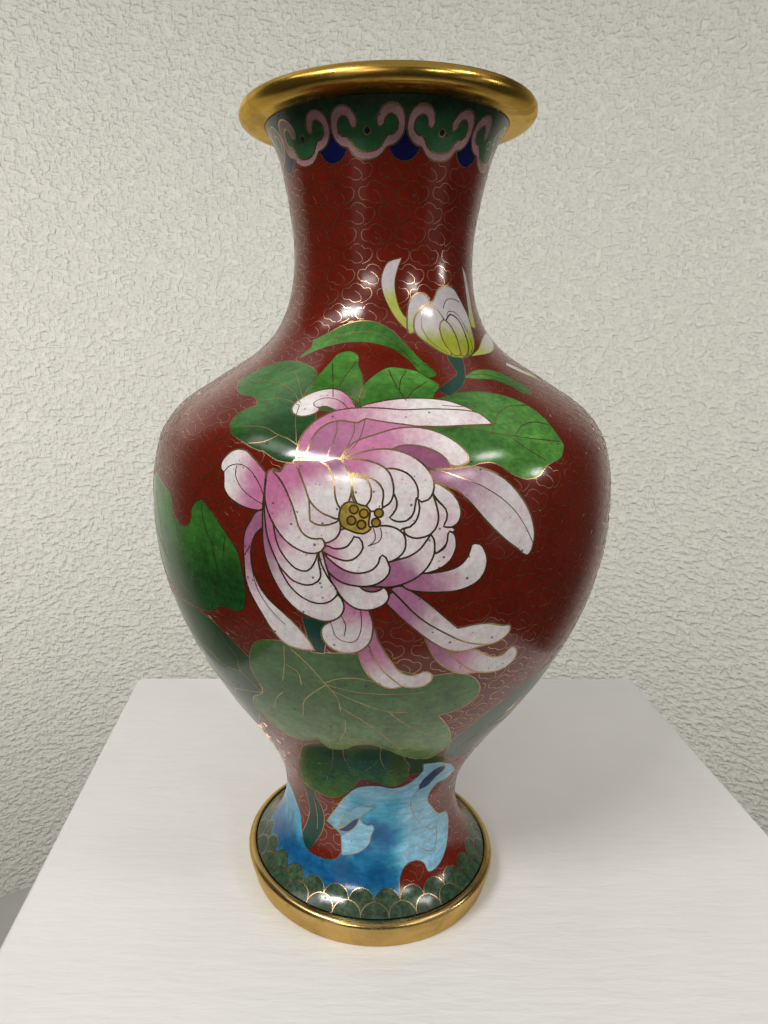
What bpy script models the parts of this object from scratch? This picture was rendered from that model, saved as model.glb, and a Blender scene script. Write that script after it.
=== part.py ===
"""Cloisonne enamel vase, 260 mm tall, built as separate closed pieces.

Metres, +Z up, the painted front faces -Y, the foot stands on z = 0.

The wall is a stack of thin shells that follow one outer profile: coloured
enamel fields outside, hammered copper sections under them, a turquoise
counter-enamel lining inside.  Gilt rings close the rim and the foot.

The enamel picture is laid out on a chart of the wall: angle round the axis in
degrees (0 = front, positive to the viewer's right) by arc length in
millimetres up the outer profile from the foot ring.  Where outlines overlap,
the later one lies on top.  Every field is trimmed by half a wire width, so a
thin channel for the brass wire is left between neighbours.
"""
import math

import bmesh
import bpy
from mathutils import Vector
from mathutils.geometry import delaunay_2d_cdt

MM = 0.001

# Outer surface of the enamel, (radius, height) in millimetres, foot to rim.
PROFILE = [
    (42.5, 9.5), (39.2, 12.0), (35.8, 16.0), (33.0, 21.5), (31.4, 27.5), (31.0, 33.4),
    (31.9, 41.1), (34.6, 48.8), (38.6, 56.5), (45.0, 66.8), (52.1, 77.1), (59.6, 89.9),
    (65.7, 102.8), (70.2, 115.6), (72.9, 128.5), (73.7, 138.8), (73.4, 149.0),
    (72.2, 156.8), (69.7, 164.5), (63.5, 172.2), (52.0, 179.9), (40.0, 187.6),
    (32.9, 195.3), (28.9, 205.6), (27.8, 218.4), (29.3, 231.3), (31.4, 241.5),
    (33.3, 248.0), (36.9, 254.3),
]
STEPS_PER_SPAN = 12         # samples between profile points

# Wall stack, depths below the outer surface in millimetres.
ENAMEL_DEPTHS = (0.0, 1.0)
COPPER_DEPTHS = (1.45, 2.45)
LINING_DEPTHS = (2.85, 3.35)
WIRE_HALF_GAP = 0.16        # each field is trimmed by this much
SECTION_HALF_GAP = 0.15     # half of the brazed seam between copper sections
SEGMENTS = 32               # facets round copper and lining
RING_SEGMENTS = 40          # facets round the gilt rings

# Heights along the profile (arc length, millimetres) where shells change.
S_FOOT = 0.35
S_BORDER_TOP = 8.3
S_COLLAR = 266.4
S_RIM_TRIM = 0.6
S_WAIST_SEAM = 24.0
S_BELLY_SEAM = 139.0
S_NECK_SEAM = 214.0

# Rows of enamel facets, closest where the wall bends most.
ROWS = [
    4.4, 8.3, 12.0, 16.0, 20.5, 26.0, 33.0, 41.0, 51.0, 62.0, 74.0, 87.0, 100.0, 113.0,
    126.0, 138.0, 149.0, 157.0, 163.5, 169.0, 174.5, 181.0, 190.0, 200.0, 207.0,
    213.5, 220.0, 228.0, 238.0, 249.0, 259.0, 272.5,
]
ENAMEL_ONLY_ROWS = (62.0, 87.0, 113.0, 138.0, 157.0, 169.0)
COLUMN_STEP = 9.0           # degrees between facet corners in a row
GRID_CLEARANCE = 3.0        # facet corners keep this far from an outline

# Gilt rings, (radius, height) sections in millimetres.
RIM_SECTION = [
    (34.5, 256.4), (37.3, 254.7), (39.3, 254.2), (41.3, 254.0), (43.2, 254.6),
    (44.2, 255.8), (44.4, 257.2), (43.9, 258.6), (42.6, 259.6), (40.8, 260.0),
    (38.0, 259.9), (35.9, 259.2), (34.7, 257.9),
]
FOOT_SECTION = [
    (40.2, 0.0), (43.2, 0.0), (44.2, 3.4), (45.3, 7.1), (45.25, 8.2), (44.7, 9.2),
    (43.9, 9.75), (43.2, 9.75), (42.85, 9.3), (42.85, 5.4), (40.2, 5.4),
]
BASE_PLATE = (41.6, 5.7, 6.7)           # radius, underside, top
BASE_LINING = (38.2, 7.0, 7.5)
BASE_COUNTER_ENAMEL = (39.9, 4.6, 5.4)

# Ornament of the collar, repeated round the neck.
RUYI_COUNT = 10
RUYI_FIRST = -8.6
RUYI_HALF = [
    (0.0, 263.3), (5.0, 264.1), (10.0, 266.0), (15.0, 268.0), (17.3, 271.2),
    (16.3, 275.0), (12.5, 276.8), (8.0, 275.9), (5.0, 273.6), (0.0, 273.2),
]
LOBE_HALF = [(0.0, 262.9), (6.0, 264.2), (9.5, 267.0), (4.0, 272.0), (0.0, 272.0)]

# Picture on the body: (name, material, outline), bottom layer first.
PICTURE = [
    ("enamel_rock", "enamel_blue", [
        (-95, 6), (-95, 26), (-82, 29.5), (-70, 30.5), (-62, 30), (-56, 27.5), (-51, 24.5),
        (-46, 18.6), (-39, 15.3), (-28, 15), (-19, 16.5), (-16.2, 20.5), (-17.5, 24.5),
        (-23, 27), (-27.5, 28.3), (-20, 35.5), (-12, 44), (-5, 49.5), (5, 50.6), (10, 49),
        (16, 49.6), (20, 52.5), (22.5, 57.5), (21, 63.8), (28, 62.5), (36, 58.5), (44, 52.5),
        (49, 48.5), (43, 45.3), (39, 46), (35.6, 42), (36, 37.5), (42, 32.5), (50, 27.8),
        (58, 26.2), (61.5, 23), (58, 17.8), (50, 13.2), (42, 11), (35, 11), (33.5, 14),
        (29, 15.6), (22, 15.1), (18, 12), (16.5, 6),
    ]),
    ("enamel_stem_low", "enamel_leaf_dark", [
        (-46, 18.6), (-39, 15.3), (-34, 19.5), (-30, 25), (-30, 32), (-34, 37),
        (-35, 43), (-41, 43), (-42, 35), (-41.5, 28), (-44, 23),
    ]),
    ("enamel_leaf_low_left", "enamel_leaf_dark", [
        (-41, 41), (-33, 39.8), (-25, 39.5), (-18, 41), (-11, 46), (-6, 52), (-6, 72),
        (-14, 77), (-23, 73), (-30, 63), (-36.5, 54), (-40.5, 47),
    ]),
    ("enamel_leaf_low_middle", "enamel_leaf_dark", [
        (-8, 77), (-9, 64), (-5, 55), (0, 54.5), (6, 51.4), (11, 50), (14.8, 52),
        (16.5, 58), (15.2, 64), (12, 70), (8, 76), (0, 82),
    ]),
    ("enamel_leaf_low_right", "enamel_leaf_dark", [
        (12, 71), (15.2, 64), (17, 57.5), (22.5, 57.5), (21, 63.8), (28, 62.5), (31.5, 64),
        (26, 68), (18, 71),
    ]),
    ("enamel_leaf_large_low", "enamel_leaf_green", [
        (-29.5, 113), (-27, 117), (-21, 120), (-3, 121), (5, 114), (12, 111.5), (20, 111.3),
        (24.3, 108), (26.8, 103), (26.5, 99), (23, 95.8), (17.5, 94), (21.5, 88), (24.5, 82),
        (26, 76), (25, 70.5), (21.5, 67.6), (16.5, 68.6), (11, 72), (5, 76.5), (0, 79.5),
        (-5, 78.5), (-9, 75), (-13.5, 73.8), (-17, 79), (-22, 76), (-29, 75.5), (-35, 79),
        (-38, 86), (-35.5, 92), (-30.5, 96.5), (-29.5, 99.5), (-31, 106),
    ]),
    ("enamel_leaf_left_dark", "enamel_leaf_dark", [
        (-47, 121), (-40, 119.6), (-34, 115.5), (-31, 111), (-31, 104), (-36, 101),
        (-43, 103), (-48, 111),
    ]),
    ("enamel_leaf_left_side", "enamel_leaf_green", [
        (-65, 154.5), (-58, 155.8), (-52, 153.8), (-49.5, 148.2), (-46, 146.6), (-43, 148.5),
        (-42.5, 152.4), (-39.5, 155.4), (-36, 153), (-31.5, 148), (-28.7, 144), (-27.6, 138),
        (-27.4, 131), (-29, 126.8), (-35, 126.2), (-38.5, 123.6), (-46, 122.2), (-54, 123.5),
        (-62, 127.5), (-69, 134), (-72, 142), (-70, 150),
    ]),
    ("enamel_leaf_cluster_left", "enamel_leaf_green", [
        (-52, 195.4), (-50, 200.2), (-46, 203), (-40, 205), (-33, 205), (-27, 203.6),
        (-21.8, 200.5), (-19.5, 194), (-16, 186), (-14, 176), (-15, 169), (-20, 168.6),
        (-26, 170.6), (-31, 172.6), (-35.2, 174.6), (-37, 178), (-36, 182), (-33, 184.8),
        (-36, 187.6), (-43, 188.6), (-48, 190.8),
    ]),
    ("enamel_leaf_arching", "enamel_leaf_green", [
        (-34, 206.9), (-33, 213.6), (-27, 216.2), (-20, 218.8), (-10, 220.5), (-2, 220),
        (5, 217.6), (11, 213), (15.5, 207.4), (18.6, 199.5), (15.2, 198.6), (11, 206.4),
        (6, 210.6), (-2, 213), (-12, 213.6), (-22, 212.2), (-28.5, 210),
    ]),
    ("enamel_leaf_upper_small", "enamel_leaf_green", [
        (-20.5, 189), (-20.6, 198), (-19.2, 205), (-17, 209.2), (-12.5, 210.1), (-9, 208.6),
        (-7.8, 204.4), (-6, 200.6), (-4.8, 195), (-5, 188),
    ]),
    ("enamel_leaf_upper_middle", "enamel_leaf_green", [
        (-4.8, 187), (-4.3, 196), (-0.5, 201.4), (3.5, 203.6), (8.5, 203), (12.5, 201.8),
        (15.8, 198.4), (18, 196), (15, 191), (13, 187),
    ]),
    ("enamel_leaf_right_small", "enamel_leaf_green", [
        (28, 198.6), (34, 201.3), (40, 202.3), (46, 200.8), (50, 196.2), (50.8, 190.6),
        (47, 189.8), (44, 194), (39.5, 197), (33, 197.8),
    ]),
    ("enamel_leaf_right_large", "enamel_leaf_green", [
        (9, 184), (17, 190.4), (22, 192), (28, 192.4), (34, 191.4), (39, 189.2), (42.2, 185.4),
        (44, 179), (44.5, 171.5), (42, 168), (37, 165.6), (32, 164), (27.6, 165), (23, 167.8),
        (14, 168), (9, 174),
    ]),
    ("enamel_bud_stem", "enamel_teal", [
        (32.4, 209), (29, 209), (26.6, 200.5), (21, 196.6), (17, 193.5), (19.5, 190.8),
        (25, 194.5), (29.4, 199.5),
    ]),
    ("enamel_bud", "enamel_bud_yellow", [
        (29, 208.4), (35, 207.4), (46, 211), (53, 217), (55.4, 222.4), (51.6, 227),
        (46, 230.4), (39, 231), (33, 229.6), (29.5, 226.6), (27, 228), (21, 228.8),
        (16, 227.4), (13.4, 222), (15.5, 217.4), (21, 213),
    ]),
    ("enamel_bud_petal_left", "enamel_white", [
        (15.2, 217), (10, 219.4), (4.5, 224), (0.4, 229), (-0.2, 233.4), (3, 237), (10.6, 238.2),
        (7.4, 232.6), (8.4, 226.6), (12, 222), (13.6, 220.8),
    ]),
    ("enamel_bud_petal_right", "enamel_white", [
        (54.5, 219), (58.5, 225), (59.6, 231), (56.4, 237.2), (61.4, 234.8), (64.4, 230),
        (62.6, 223.6), (57.6, 218.4),
    ]),
    ("enamel_bud_petal_low", "enamel_white", [
        (37.5, 207.8), (48, 210.8), (58, 214.4), (70, 216.6), (84, 216.2), (72, 212.8),
        (58, 209.6),
    ]),
    ("enamel_chrysanthemum", "enamel_petal", [
        (-22.6, 187), (-20, 191.8), (-15, 193.5), (-10, 192), (-6.6, 188), (-4, 186.6),
        (0, 188), (6, 190), (13, 190), (20, 187.5), (24, 184), (26.5, 179.8), (19, 179.4),
        (14.6, 177.6), (17.4, 174), (18.2, 169), (22.4, 166.8), (27.4, 163), (31.2, 157.6),
        (32.6, 151), (31.5, 144.8), (26, 149.2), (19.5, 155.6), (16.4, 158), (15.4, 149.4),
        (18.4, 149.4), (21.4, 146.6), (21.4, 142.4), (18.4, 138.8), (12, 137.4), (8.4, 136),
        (12.6, 130), (16.8, 126.8), (24, 127), (29.4, 125.4), (27.4, 120.8), (29, 116.2),
        (32.6, 117.4), (34, 113.6), (31, 110.1), (25, 110.4), (18, 112.4), (12, 119),
        (8, 125), (3.2, 133.4), (1.4, 127), (3.4, 119), (7, 113.8), (12.4, 113.2),
        (12.4, 109), (6, 107.6), (1, 110.2), (-2, 114.4), (-3.6, 120), (-8, 119.6),
        (-12.6, 118.7), (-19, 119), (-23, 124), (-26, 131), (-27, 140), (-26.6, 148.4),
        (-24, 155.4), (-28, 156), (-32.6, 160), (-34.4, 165), (-32.6, 169), (-28.6, 170.3),
        (-22.5, 166.2), (-18, 168), (-16.2, 175), (-14.6, 180.4), (-11.4, 184.6),
        (-14.8, 184.8), (-18.4, 181.9), (-21.4, 183.4),
    ]),
    ("enamel_flower_centre", "enamel_ochre", [
        (-6.8, 157.2), (-5.2, 160), (-2, 160.6), (0.8, 159.6), (1.6, 157), (0.4, 154.2),
        (-2.6, 152.8), (-5.6, 154),
    ]),
]

# Red cells closed in by the picture: (name, a point inside).
POCKETS = [
    ("enamel_pocket_by_stem", (-22.0, 20.0)),
]

# Colours for the shop view, linear RGB with metalness and roughness.
COLOURS = {
    "gilt_brass": ((0.62, 0.40, 0.13), 1.0, 0.28),
    "copper": ((0.55, 0.25, 0.14), 1.0, 0.45),
    "enamel_red": ((0.20, 0.012, 0.006), 0.0, 0.18),
    "enamel_scale_green": ((0.045, 0.085, 0.035), 0.0, 0.22),
    "enamel_collar_green": ((0.010, 0.045, 0.015), 0.0, 0.22),
    "enamel_mauve": ((0.42, 0.24, 0.25), 0.0, 0.25),
    "enamel_navy": ((0.008, 0.012, 0.10), 0.0, 0.18),
    "enamel_blue": ((0.12, 0.38, 0.62), 0.0, 0.2),
    "enamel_leaf_green": ((0.045, 0.19, 0.025), 0.0, 0.2),
    "enamel_leaf_dark": ((0.015, 0.075, 0.02), 0.0, 0.2),
    "enamel_teal": ((0.004, 0.06, 0.045), 0.0, 0.2),
    "enamel_bud_yellow": ((0.55, 0.58, 0.16), 0.0, 0.22),
    "enamel_white": ((0.72, 0.72, 0.66), 0.0, 0.25),
    "enamel_petal": ((0.70, 0.56, 0.60), 0.0, 0.25),
    "enamel_ochre": ((0.40, 0.22, 0.03), 0.0, 0.25),
    "enamel_turquoise": ((0.03, 0.28, 0.34), 0.0, 0.3),
}


def clear_scene():
    for old in list(bpy.data.objects):
        bpy.data.objects.remove(old, do_unlink=True)


def material(name):
    found = bpy.data.materials.get(name)
    if found is not None:
        return found
    colour, metallic, roughness = COLOURS[name]
    made = bpy.data.materials.new(name)
    made.use_nodes = True
    shader = made.node_tree.nodes["Principled BSDF"]
    shader.inputs["Base Color"].default_value = (*colour, 1.0)
    shader.inputs["Metallic"].default_value = metallic
    shader.inputs["Roughness"].default_value = roughness
    return made


def catmull_rom(p0, p1, p2, p3, t):
    """Point on the smooth curve from p1 to p2."""
    result = []
    for a, b, c, d in zip(p0, p1, p2, p3):
        value = 2 * b + (c - a) * t
        value += (2 * a - 5 * b + 4 * c - d) * t * t
        value += (3 * b - a - 3 * c + d) * t ** 3
        result.append(value / 2)
    return result


def sample_profile():
    """Rows of (arc length, radius, height) along the outer profile."""
    rows = []
    last = len(PROFILE) - 1
    for i in range(last):
        before = PROFILE[max(i - 1, 0)]
        after = PROFILE[min(i + 2, last)]
        for k in range(STEPS_PER_SPAN):
            t = k / STEPS_PER_SPAN
            rows.append(catmull_rom(before, PROFILE[i], PROFILE[i + 1], after, t))
    rows.append(list(PROFILE[last]))
    length = 0.0
    table = [(0.0, *rows[0])]
    for a, b in zip(rows, rows[1:]):
        length += math.dist(a, b)
        table.append((length, *b))
    return table


TABLE = sample_profile()
S_RIM = TABLE[-1][0] - S_RIM_TRIM


def wall(s, depth=0.0):
    """Radius and height at arc length s, a given depth under the surface."""
    i = 1
    while i < len(TABLE) - 1 and TABLE[i][0] < s:
        i += 1
    s0, r0, z0 = TABLE[i - 1]
    s1, r1, z1 = TABLE[i]
    t = (s - s0) / (s1 - s0)
    radius = r0 + (r1 - r0) * t
    height = z0 + (z1 - z0) * t
    _, ra, za = TABLE[max(i - 3, 0)]
    _, rb, zb = TABLE[min(i + 2, len(TABLE) - 1)]
    run = math.hypot(rb - ra, zb - za)
    return radius - depth * (zb - za) / run, height + depth * (rb - ra) / run


def on_wall(angle, s, depth):
    """Point in metres; angle in degrees from the front (-Y) towards +X."""
    radius, height = wall(s, depth)
    a = math.radians(angle)
    return Vector((radius * math.sin(a), -radius * math.cos(a), height)) * MM


def add_object(name, points, faces, material_name):
    mesh = bpy.data.meshes.new(name)
    mesh.from_pydata(points, [], faces)
    bm = bmesh.new()
    bm.from_mesh(mesh)
    bmesh.ops.recalc_face_normals(bm, faces=bm.faces)
    if bm.calc_volume(signed=True) < 0:
        bmesh.ops.reverse_faces(bm, faces=bm.faces)
    bm.to_mesh(mesh)
    bm.free()
    mesh.materials.append(material(material_name))
    made = bpy.data.objects.new(name, mesh)
    bpy.context.scene.collection.objects.link(made)
    return made


def turned(name, section, segments, material_name):
    """Ring from a closed (radius, height) section in millimetres."""
    points = []
    for k in range(segments):
        a = math.tau * (k + 0.5) / segments
        for radius, height in section:
            points.append(Vector((radius * math.sin(a), -radius * math.cos(a), height)) * MM)
    count = len(section)
    faces = []
    for k in range(segments):
        here = k * count
        there = (k + 1) % segments * count
        for i in range(count):
            j = (i + 1) % count
            faces.append((here + i, here + j, there + j, there + i))
    return add_object(name, points, faces, material_name)


def disc(name, size, material_name):
    """Flat round plate from (radius, underside, top) in millimetres."""
    radius, low, high = size
    points = []
    for height in (low, high):
        for k in range(SEGMENTS):
            a = math.tau * (k + 0.5) / SEGMENTS
            points.append(Vector((radius * math.sin(a), -radius * math.cos(a), height)) * MM)
    faces = [tuple(range(SEGMENTS)), tuple(range(SEGMENTS, 2 * SEGMENTS))]
    for k in range(SEGMENTS):
        n = (k + 1) % SEGMENTS
        faces.append((k, n, n + SEGMENTS, k + SEGMENTS))
    return add_object(name, points, faces, material_name)


def shell(name, s_low, s_high, depths, material_name):
    """Turned shell between two arc lengths and two depths."""
    inner = [s_low]
    for row in ROWS:
        if s_low + 2.0 < row < s_high - 2.0 and row not in ENAMEL_ONLY_ROWS:
            inner.append(row)
    inner.append(s_high)
    section = [wall(s, depths[0]) for s in inner]
    section += [wall(s, depths[1]) for s in reversed(inner)]
    return turned(name, section, SEGMENTS, material_name)


def mirrored(half, centre):
    """Closed outline from one half, mirrored about its own middle."""
    right = [(centre + a, s) for a, s in half]
    left = [(centre - a, s) for a, s in reversed(half) if a > 0]
    return right + left


def collar_outlines():
    found = []
    step = 360.0 / RUYI_COUNT
    for k in range(RUYI_COUNT):
        centre = RUYI_FIRST + k * step
        name = "enamel_navy_lobe_%02d" % (k + 1)
        found.append((name, "enamel_navy", mirrored(LOBE_HALF, wrap(centre + step / 2))))
    for k in range(RUYI_COUNT):
        centre = RUYI_FIRST + k * step
        name = "enamel_ruyi_head_%02d" % (k + 1)
        found.append((name, "enamel_mauve", mirrored(RUYI_HALF, wrap(centre))))
    return found


def wrap(angle):
    """Angle in the range -180 to 180 degrees."""
    return (angle + 180.0) % 360.0 - 180.0


def band(low, high):
    return [(-180.0, low), (180.0, low), (180.0, high), (-180.0, high)]


def fields():
    """Every enamel field as (name, material, outline), bottom layer first."""
    found = [
        ("enamel_ground_red", "enamel_red", band(S_BORDER_TOP, S_COLLAR)),
        ("enamel_collar_ground", "enamel_collar_green", band(S_COLLAR, S_RIM)),
    ]
    found += PICTURE
    found.append(("enamel_scale_border", "enamel_scale_green", band(S_FOOT, S_BORDER_TOP)))
    found += collar_outlines()
    return found


def distance_to_segment(p, a, b):
    ax, ay = b[0] - a[0], b[1] - a[1]
    length = ax * ax + ay * ay
    t = 0.0
    if length > 0:
        t = max(0.0, min(1.0, ((p[0] - a[0]) * ax + (p[1] - a[1]) * ay) / length))
    return math.hypot(p[0] - a[0] - ax * t, p[1] - a[1] - ay * t)


def near_outline(point, outlines):
    for _, _, outline in outlines:
        low = min(s for _, s in outline) - GRID_CLEARANCE
        high = max(s for _, s in outline) + GRID_CLEARANCE
        if not low < point[1] < high:
            continue
        for moved in copies_on_chart(outline):
            for a, b in zip(moved, moved[1:] + moved[:1]):
                if distance_to_segment(point, a, b) < GRID_CLEARANCE:
                    return True
    return False


def with_corners(outline):
    """Outline anticlockwise, long sides divided to follow the round wall."""
    twice_area = 0.0
    for a, b in zip(outline, outline[1:] + outline[:1]):
        twice_area += a[0] * b[1] - b[0] * a[1]
    if twice_area < 0:
        outline = outline[::-1]
    found = []
    for a, b in zip(outline, outline[1:] + outline[:1]):
        parts = max(1, math.ceil(abs(b[0] - a[0]) / COLUMN_STEP - 1e-6))
        for k in range(parts):
            t = k / parts
            found.append((a[0] + (b[0] - a[0]) * t, a[1] + (b[1] - a[1]) * t))
    return found


def copies_on_chart(outline):
    """The outline, plus a turned copy where it crosses the back seam."""
    found = []
    for turn in (-360.0, 0.0, 360.0):
        moved = [(a + turn, s) for a, s in outline]
        if min(a for a, _ in moved) < 180.0 and max(a for a, _ in moved) > -180.0:
            found.append(moved)
    return found


def chart_mesh(all_fields):
    """Triangulate the chart; returns points, triangles and the owner of each."""
    points = []
    polygons = []
    polygon_owner = []
    for owner, (_, _, outline) in enumerate(all_fields):
        for moved in copies_on_chart(with_corners(outline)):
            start = len(points)
            points += [Vector(p) for p in moved]
            polygons.append(list(range(start, len(points))))
            polygon_owner.append(owner)
    pictures = [f for f in all_fields if len(f[2]) > 4]
    columns = round(360.0 / COLUMN_STEP)
    for row in ROWS:
        for k in range(columns + 1):
            point = (-180.0 + k * COLUMN_STEP, row)
            at_seam = row < S_COLLAR - 6.0 and k in (0, columns)
            if at_seam or not near_outline(point, pictures):
                points.append(Vector(point))
    out = delaunay_2d_cdt(points, [], polygons, 0, 1e-4)
    corners = [tuple(p) for p in out[0]]
    triangles = []
    owners = []
    for face, origin in zip(out[2], out[5]):
        middle = sum(corners[i][0] for i in face) / 3
        if origin and abs(middle) < 180.0:
            triangles.append(tuple(face))
            owners.append(max(polygon_owner[k] for k in origin))
    return corners, triangles, owners


def join_seam(points, triangles):
    """Close the chart at the back: angle 180 becomes angle -180."""
    used = sorted({i for t in triangles for i in t})
    left = [i for i in used if points[i][0] < -179.999]
    swap = {}
    for i in used:
        if points[i][0] > 179.999:
            swap[i] = min(left, key=lambda k: abs(points[k][1] - points[i][1]))
    return [tuple(swap.get(i, i) for i in t) for t in triangles]


def components(triangles):
    """Groups of triangles joined edge to edge."""
    by_edge = {}
    for n, t in enumerate(triangles):
        for a, b in zip(t, t[1:] + t[:1]):
            by_edge.setdefault((min(a, b), max(a, b)), []).append(n)
    neighbours = [[] for _ in triangles]
    for group in by_edge.values():
        if len(group) == 2:
            neighbours[group[0]].append(group[1])
            neighbours[group[1]].append(group[0])
    label = [None] * len(triangles)
    groups = []
    for n in range(len(triangles)):
        if label[n] is not None:
            continue
        label[n] = len(groups)
        group = [n]
        for m in group:
            for k in neighbours[m]:
                if label[k] is None:
                    label[k] = label[n]
                    group.append(k)
        groups.append(group)
    return groups


def area(points, triangle):
    """Area in square millimetres on the wall."""
    (ax, ay), (bx, by), (cx, cy) = unrolled(points, triangle)
    return abs((bx - ax) * (cy - ay) - (cx - ax) * (by - ay)) / 2


def unrolled(points, ids):
    """Chart points in millimetres, side by side with the first one."""
    first = points[ids[0]]
    scale = math.radians(wall(first[1])[0])
    return [(wrap(points[i][0] - first[0]) * scale, points[i][1]) for i in ids]


def inside(point, corners):
    signs = []
    for a, b in zip(corners, corners[1:] + corners[:1]):
        signs.append((b[0] - a[0]) * (point[1] - a[1]) - (point[0] - a[0]) * (b[1] - a[1]) > 0)
    return all(signs) or not any(signs)


def split_fans(points, triangles):
    """Give each fan of triangles round a point its own copy of the point."""
    triangles = [list(t) for t in triangles]
    points = list(points)
    users = {}
    for n, t in enumerate(triangles):
        for i in t:
            users.setdefault(i, []).append(n)
    for i, around in users.items():
        fans = components_at(i, around, triangles)
        for fan in fans[1:]:
            points.append(points[i])
            for n in fan:
                triangles[n] = [len(points) - 1 if k == i else k for k in triangles[n]]
    return points, [tuple(t) for t in triangles]


def components_at(i, around, triangles):
    fans = []
    left = list(around)
    while left:
        fan = [left.pop(0)]
        for n in fan:
            edge_points = set(triangles[n]) - {i}
            for m in list(left):
                if edge_points & (set(triangles[m]) - {i}):
                    fan.append(m)
                    left.remove(m)
        fans.append(fan)
    return fans


def border_edges(triangles):
    """Directed edges used by one triangle only."""
    used = set()
    for t in triangles:
        for a, b in zip(t, t[1:] + t[:1]):
            used.add((a, b))
    return [(a, b) for a, b in sorted(used) if (b, a) not in used]


def trim(points, triangles):
    """Move the border of a field inwards by half a wire gap."""
    after = {}
    before = {}
    for a, b in border_edges(triangles):
        after[a] = b
        before[b] = a
    moves = {}
    for i in after:
        p, q, r = unrolled(points, (i, before[i], after[i]))
        d1 = Vector((p[0] - q[0], p[1] - q[1])).normalized()
        d2 = Vector((r[0] - p[0], r[1] - p[1])).normalized()
        n1 = Vector((-d1.y, d1.x))
        n2 = Vector((-d2.y, d2.x))
        middle = n1 + n2
        if middle.length < 1e-4:
            middle = d1
        middle.normalize()
        reach = WIRE_HALF_GAP / max(middle.dot(n2), 0.4)
        moves[i] = (middle.x * reach, middle.y * reach)
    moved = list(points)
    share = {i: 1.0 for i in moves}
    for _ in range(6):
        for i, (dx, dy) in moves.items():
            angle, s = points[i]
            turn = math.degrees(dx * share[i] / wall(s)[0])
            moved[i] = (angle + turn, s + dy * share[i])
        bad = [t for t in triangles if signed_area(moved, t) < 0.02]
        if not bad:
            break
        for t in bad:
            for i in t:
                if i in share:
                    share[i] *= 0.6
    return moved


def signed_area(points, triangle):
    (ax, ay), (bx, by), (cx, cy) = unrolled(points, triangle)
    return ((bx - ax) * (cy - ay) - (cx - ax) * (by - ay)) / 2


def enamel_plate(name, points, triangles, material_name):
    """Curved plate over a set of chart triangles."""
    points, triangles = split_fans(points, triangles)
    points = trim(points, triangles)
    used = sorted({i for t in triangles for i in t})
    index = {i: k for k, i in enumerate(used)}
    top = [on_wall(*points[i], ENAMEL_DEPTHS[0]) for i in used]
    under = [on_wall(*points[i], ENAMEL_DEPTHS[1]) for i in used]
    count = len(used)
    faces = []
    for t in triangles:
        a, b, c = (index[i] for i in t)
        faces.append((a, b, c))
        faces.append((c + count, b + count, a + count))
    for a, b in border_edges(triangles):
        a, b = index[a], index[b]
        faces.append((a, a + count, b + count, b))
    return add_object(name, top + under, faces, material_name)


def counter_clockwise(points, triangles):
    fixed = []
    for t in triangles:
        if signed_area(points, t) < 0:
            t = (t[0], t[2], t[1])
        fixed.append(t)
    return fixed


def absorb_islands(points, triangles, owners):
    """Keep each field in one piece; loose scraps join a neighbour."""
    named = {}
    pocket_of = {}
    for owner in sorted(set(owners)):
        mine = [n for n, o in enumerate(owners) if o == owner]
        groups = components([triangles[n] for n in mine])
        groups = [[mine[k] for k in group] for group in groups]
        groups.sort(key=lambda g: -sum(area(points, triangles[n]) for n in g))
        named[owner] = groups[0]
        for group in groups[1:]:
            pocket_of[tuple(group)] = pocket_name(points, triangles, group)
    pockets = {}
    for group, name in pocket_of.items():
        if name is not None:
            pockets[name] = list(group)
            continue
        target = best_neighbour(triangles, group, named)
        named[target] = named[target] + list(group)
    return named, pockets


def pocket_name(points, triangles, group):
    for name, seed in POCKETS:
        for n in group:
            if inside(seed, [points[i] for i in triangles[n]]):
                return name
    return None


def best_neighbour(triangles, group, named):
    """The field that shares most edges with a scrap."""
    edges = set()
    for n in group:
        t = triangles[n]
        for a, b in zip(t, t[1:] + t[:1]):
            edges.add((min(a, b), max(a, b)))
    score = {}
    for owner, members in named.items():
        for n in members:
            t = triangles[n]
            for a, b in zip(t, t[1:] + t[:1]):
                if (min(a, b), max(a, b)) in edges:
                    score[owner] = score.get(owner, 0) + 1
    return max(sorted(score), key=lambda owner: score[owner])


def build_enamel():
    all_fields = fields()
    points, triangles, owners = chart_mesh(all_fields)
    triangles = join_seam(points, triangles)
    triangles = counter_clockwise(points, triangles)
    named, pockets = absorb_islands(points, triangles, owners)
    for owner, members in sorted(named.items()):
        name, material_name, _ = all_fields[owner]
        enamel_plate(name, points, [triangles[n] for n in members], material_name)
    for name, members in sorted(pockets.items()):
        enamel_plate(name, points, [triangles[n] for n in members], "enamel_red")


def build_metal():
    gap = SECTION_HALF_GAP
    sections = [
        ("copper_foot_skirt", S_FOOT, S_WAIST_SEAM - gap),
        ("copper_lower_body", S_WAIST_SEAM + gap, S_BELLY_SEAM - gap),
        ("copper_upper_body", S_BELLY_SEAM + gap, S_NECK_SEAM - gap),
        ("copper_neck", S_NECK_SEAM + gap, S_RIM),
    ]
    for name, low, high in sections:
        shell(name, low, high, COPPER_DEPTHS, "copper")
    turned("gilt_rim_ring", RIM_SECTION, RING_SEGMENTS, "gilt_brass")
    turned("gilt_foot_ring", FOOT_SECTION, RING_SEGMENTS, "gilt_brass")
    disc("copper_base_plate", BASE_PLATE, "copper")


def build_lining():
    gap = SECTION_HALF_GAP
    shell("lining_body", 1.6, S_NECK_SEAM - gap, LINING_DEPTHS, "enamel_turquoise")
    shell("lining_neck", S_NECK_SEAM + gap, S_RIM, LINING_DEPTHS, "enamel_turquoise")
    disc("lining_base", BASE_LINING, "enamel_turquoise")
    disc("base_counter_enamel", BASE_COUNTER_ENAMEL, "enamel_turquoise")


clear_scene()
build_metal()
build_lining()
build_enamel()
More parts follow.
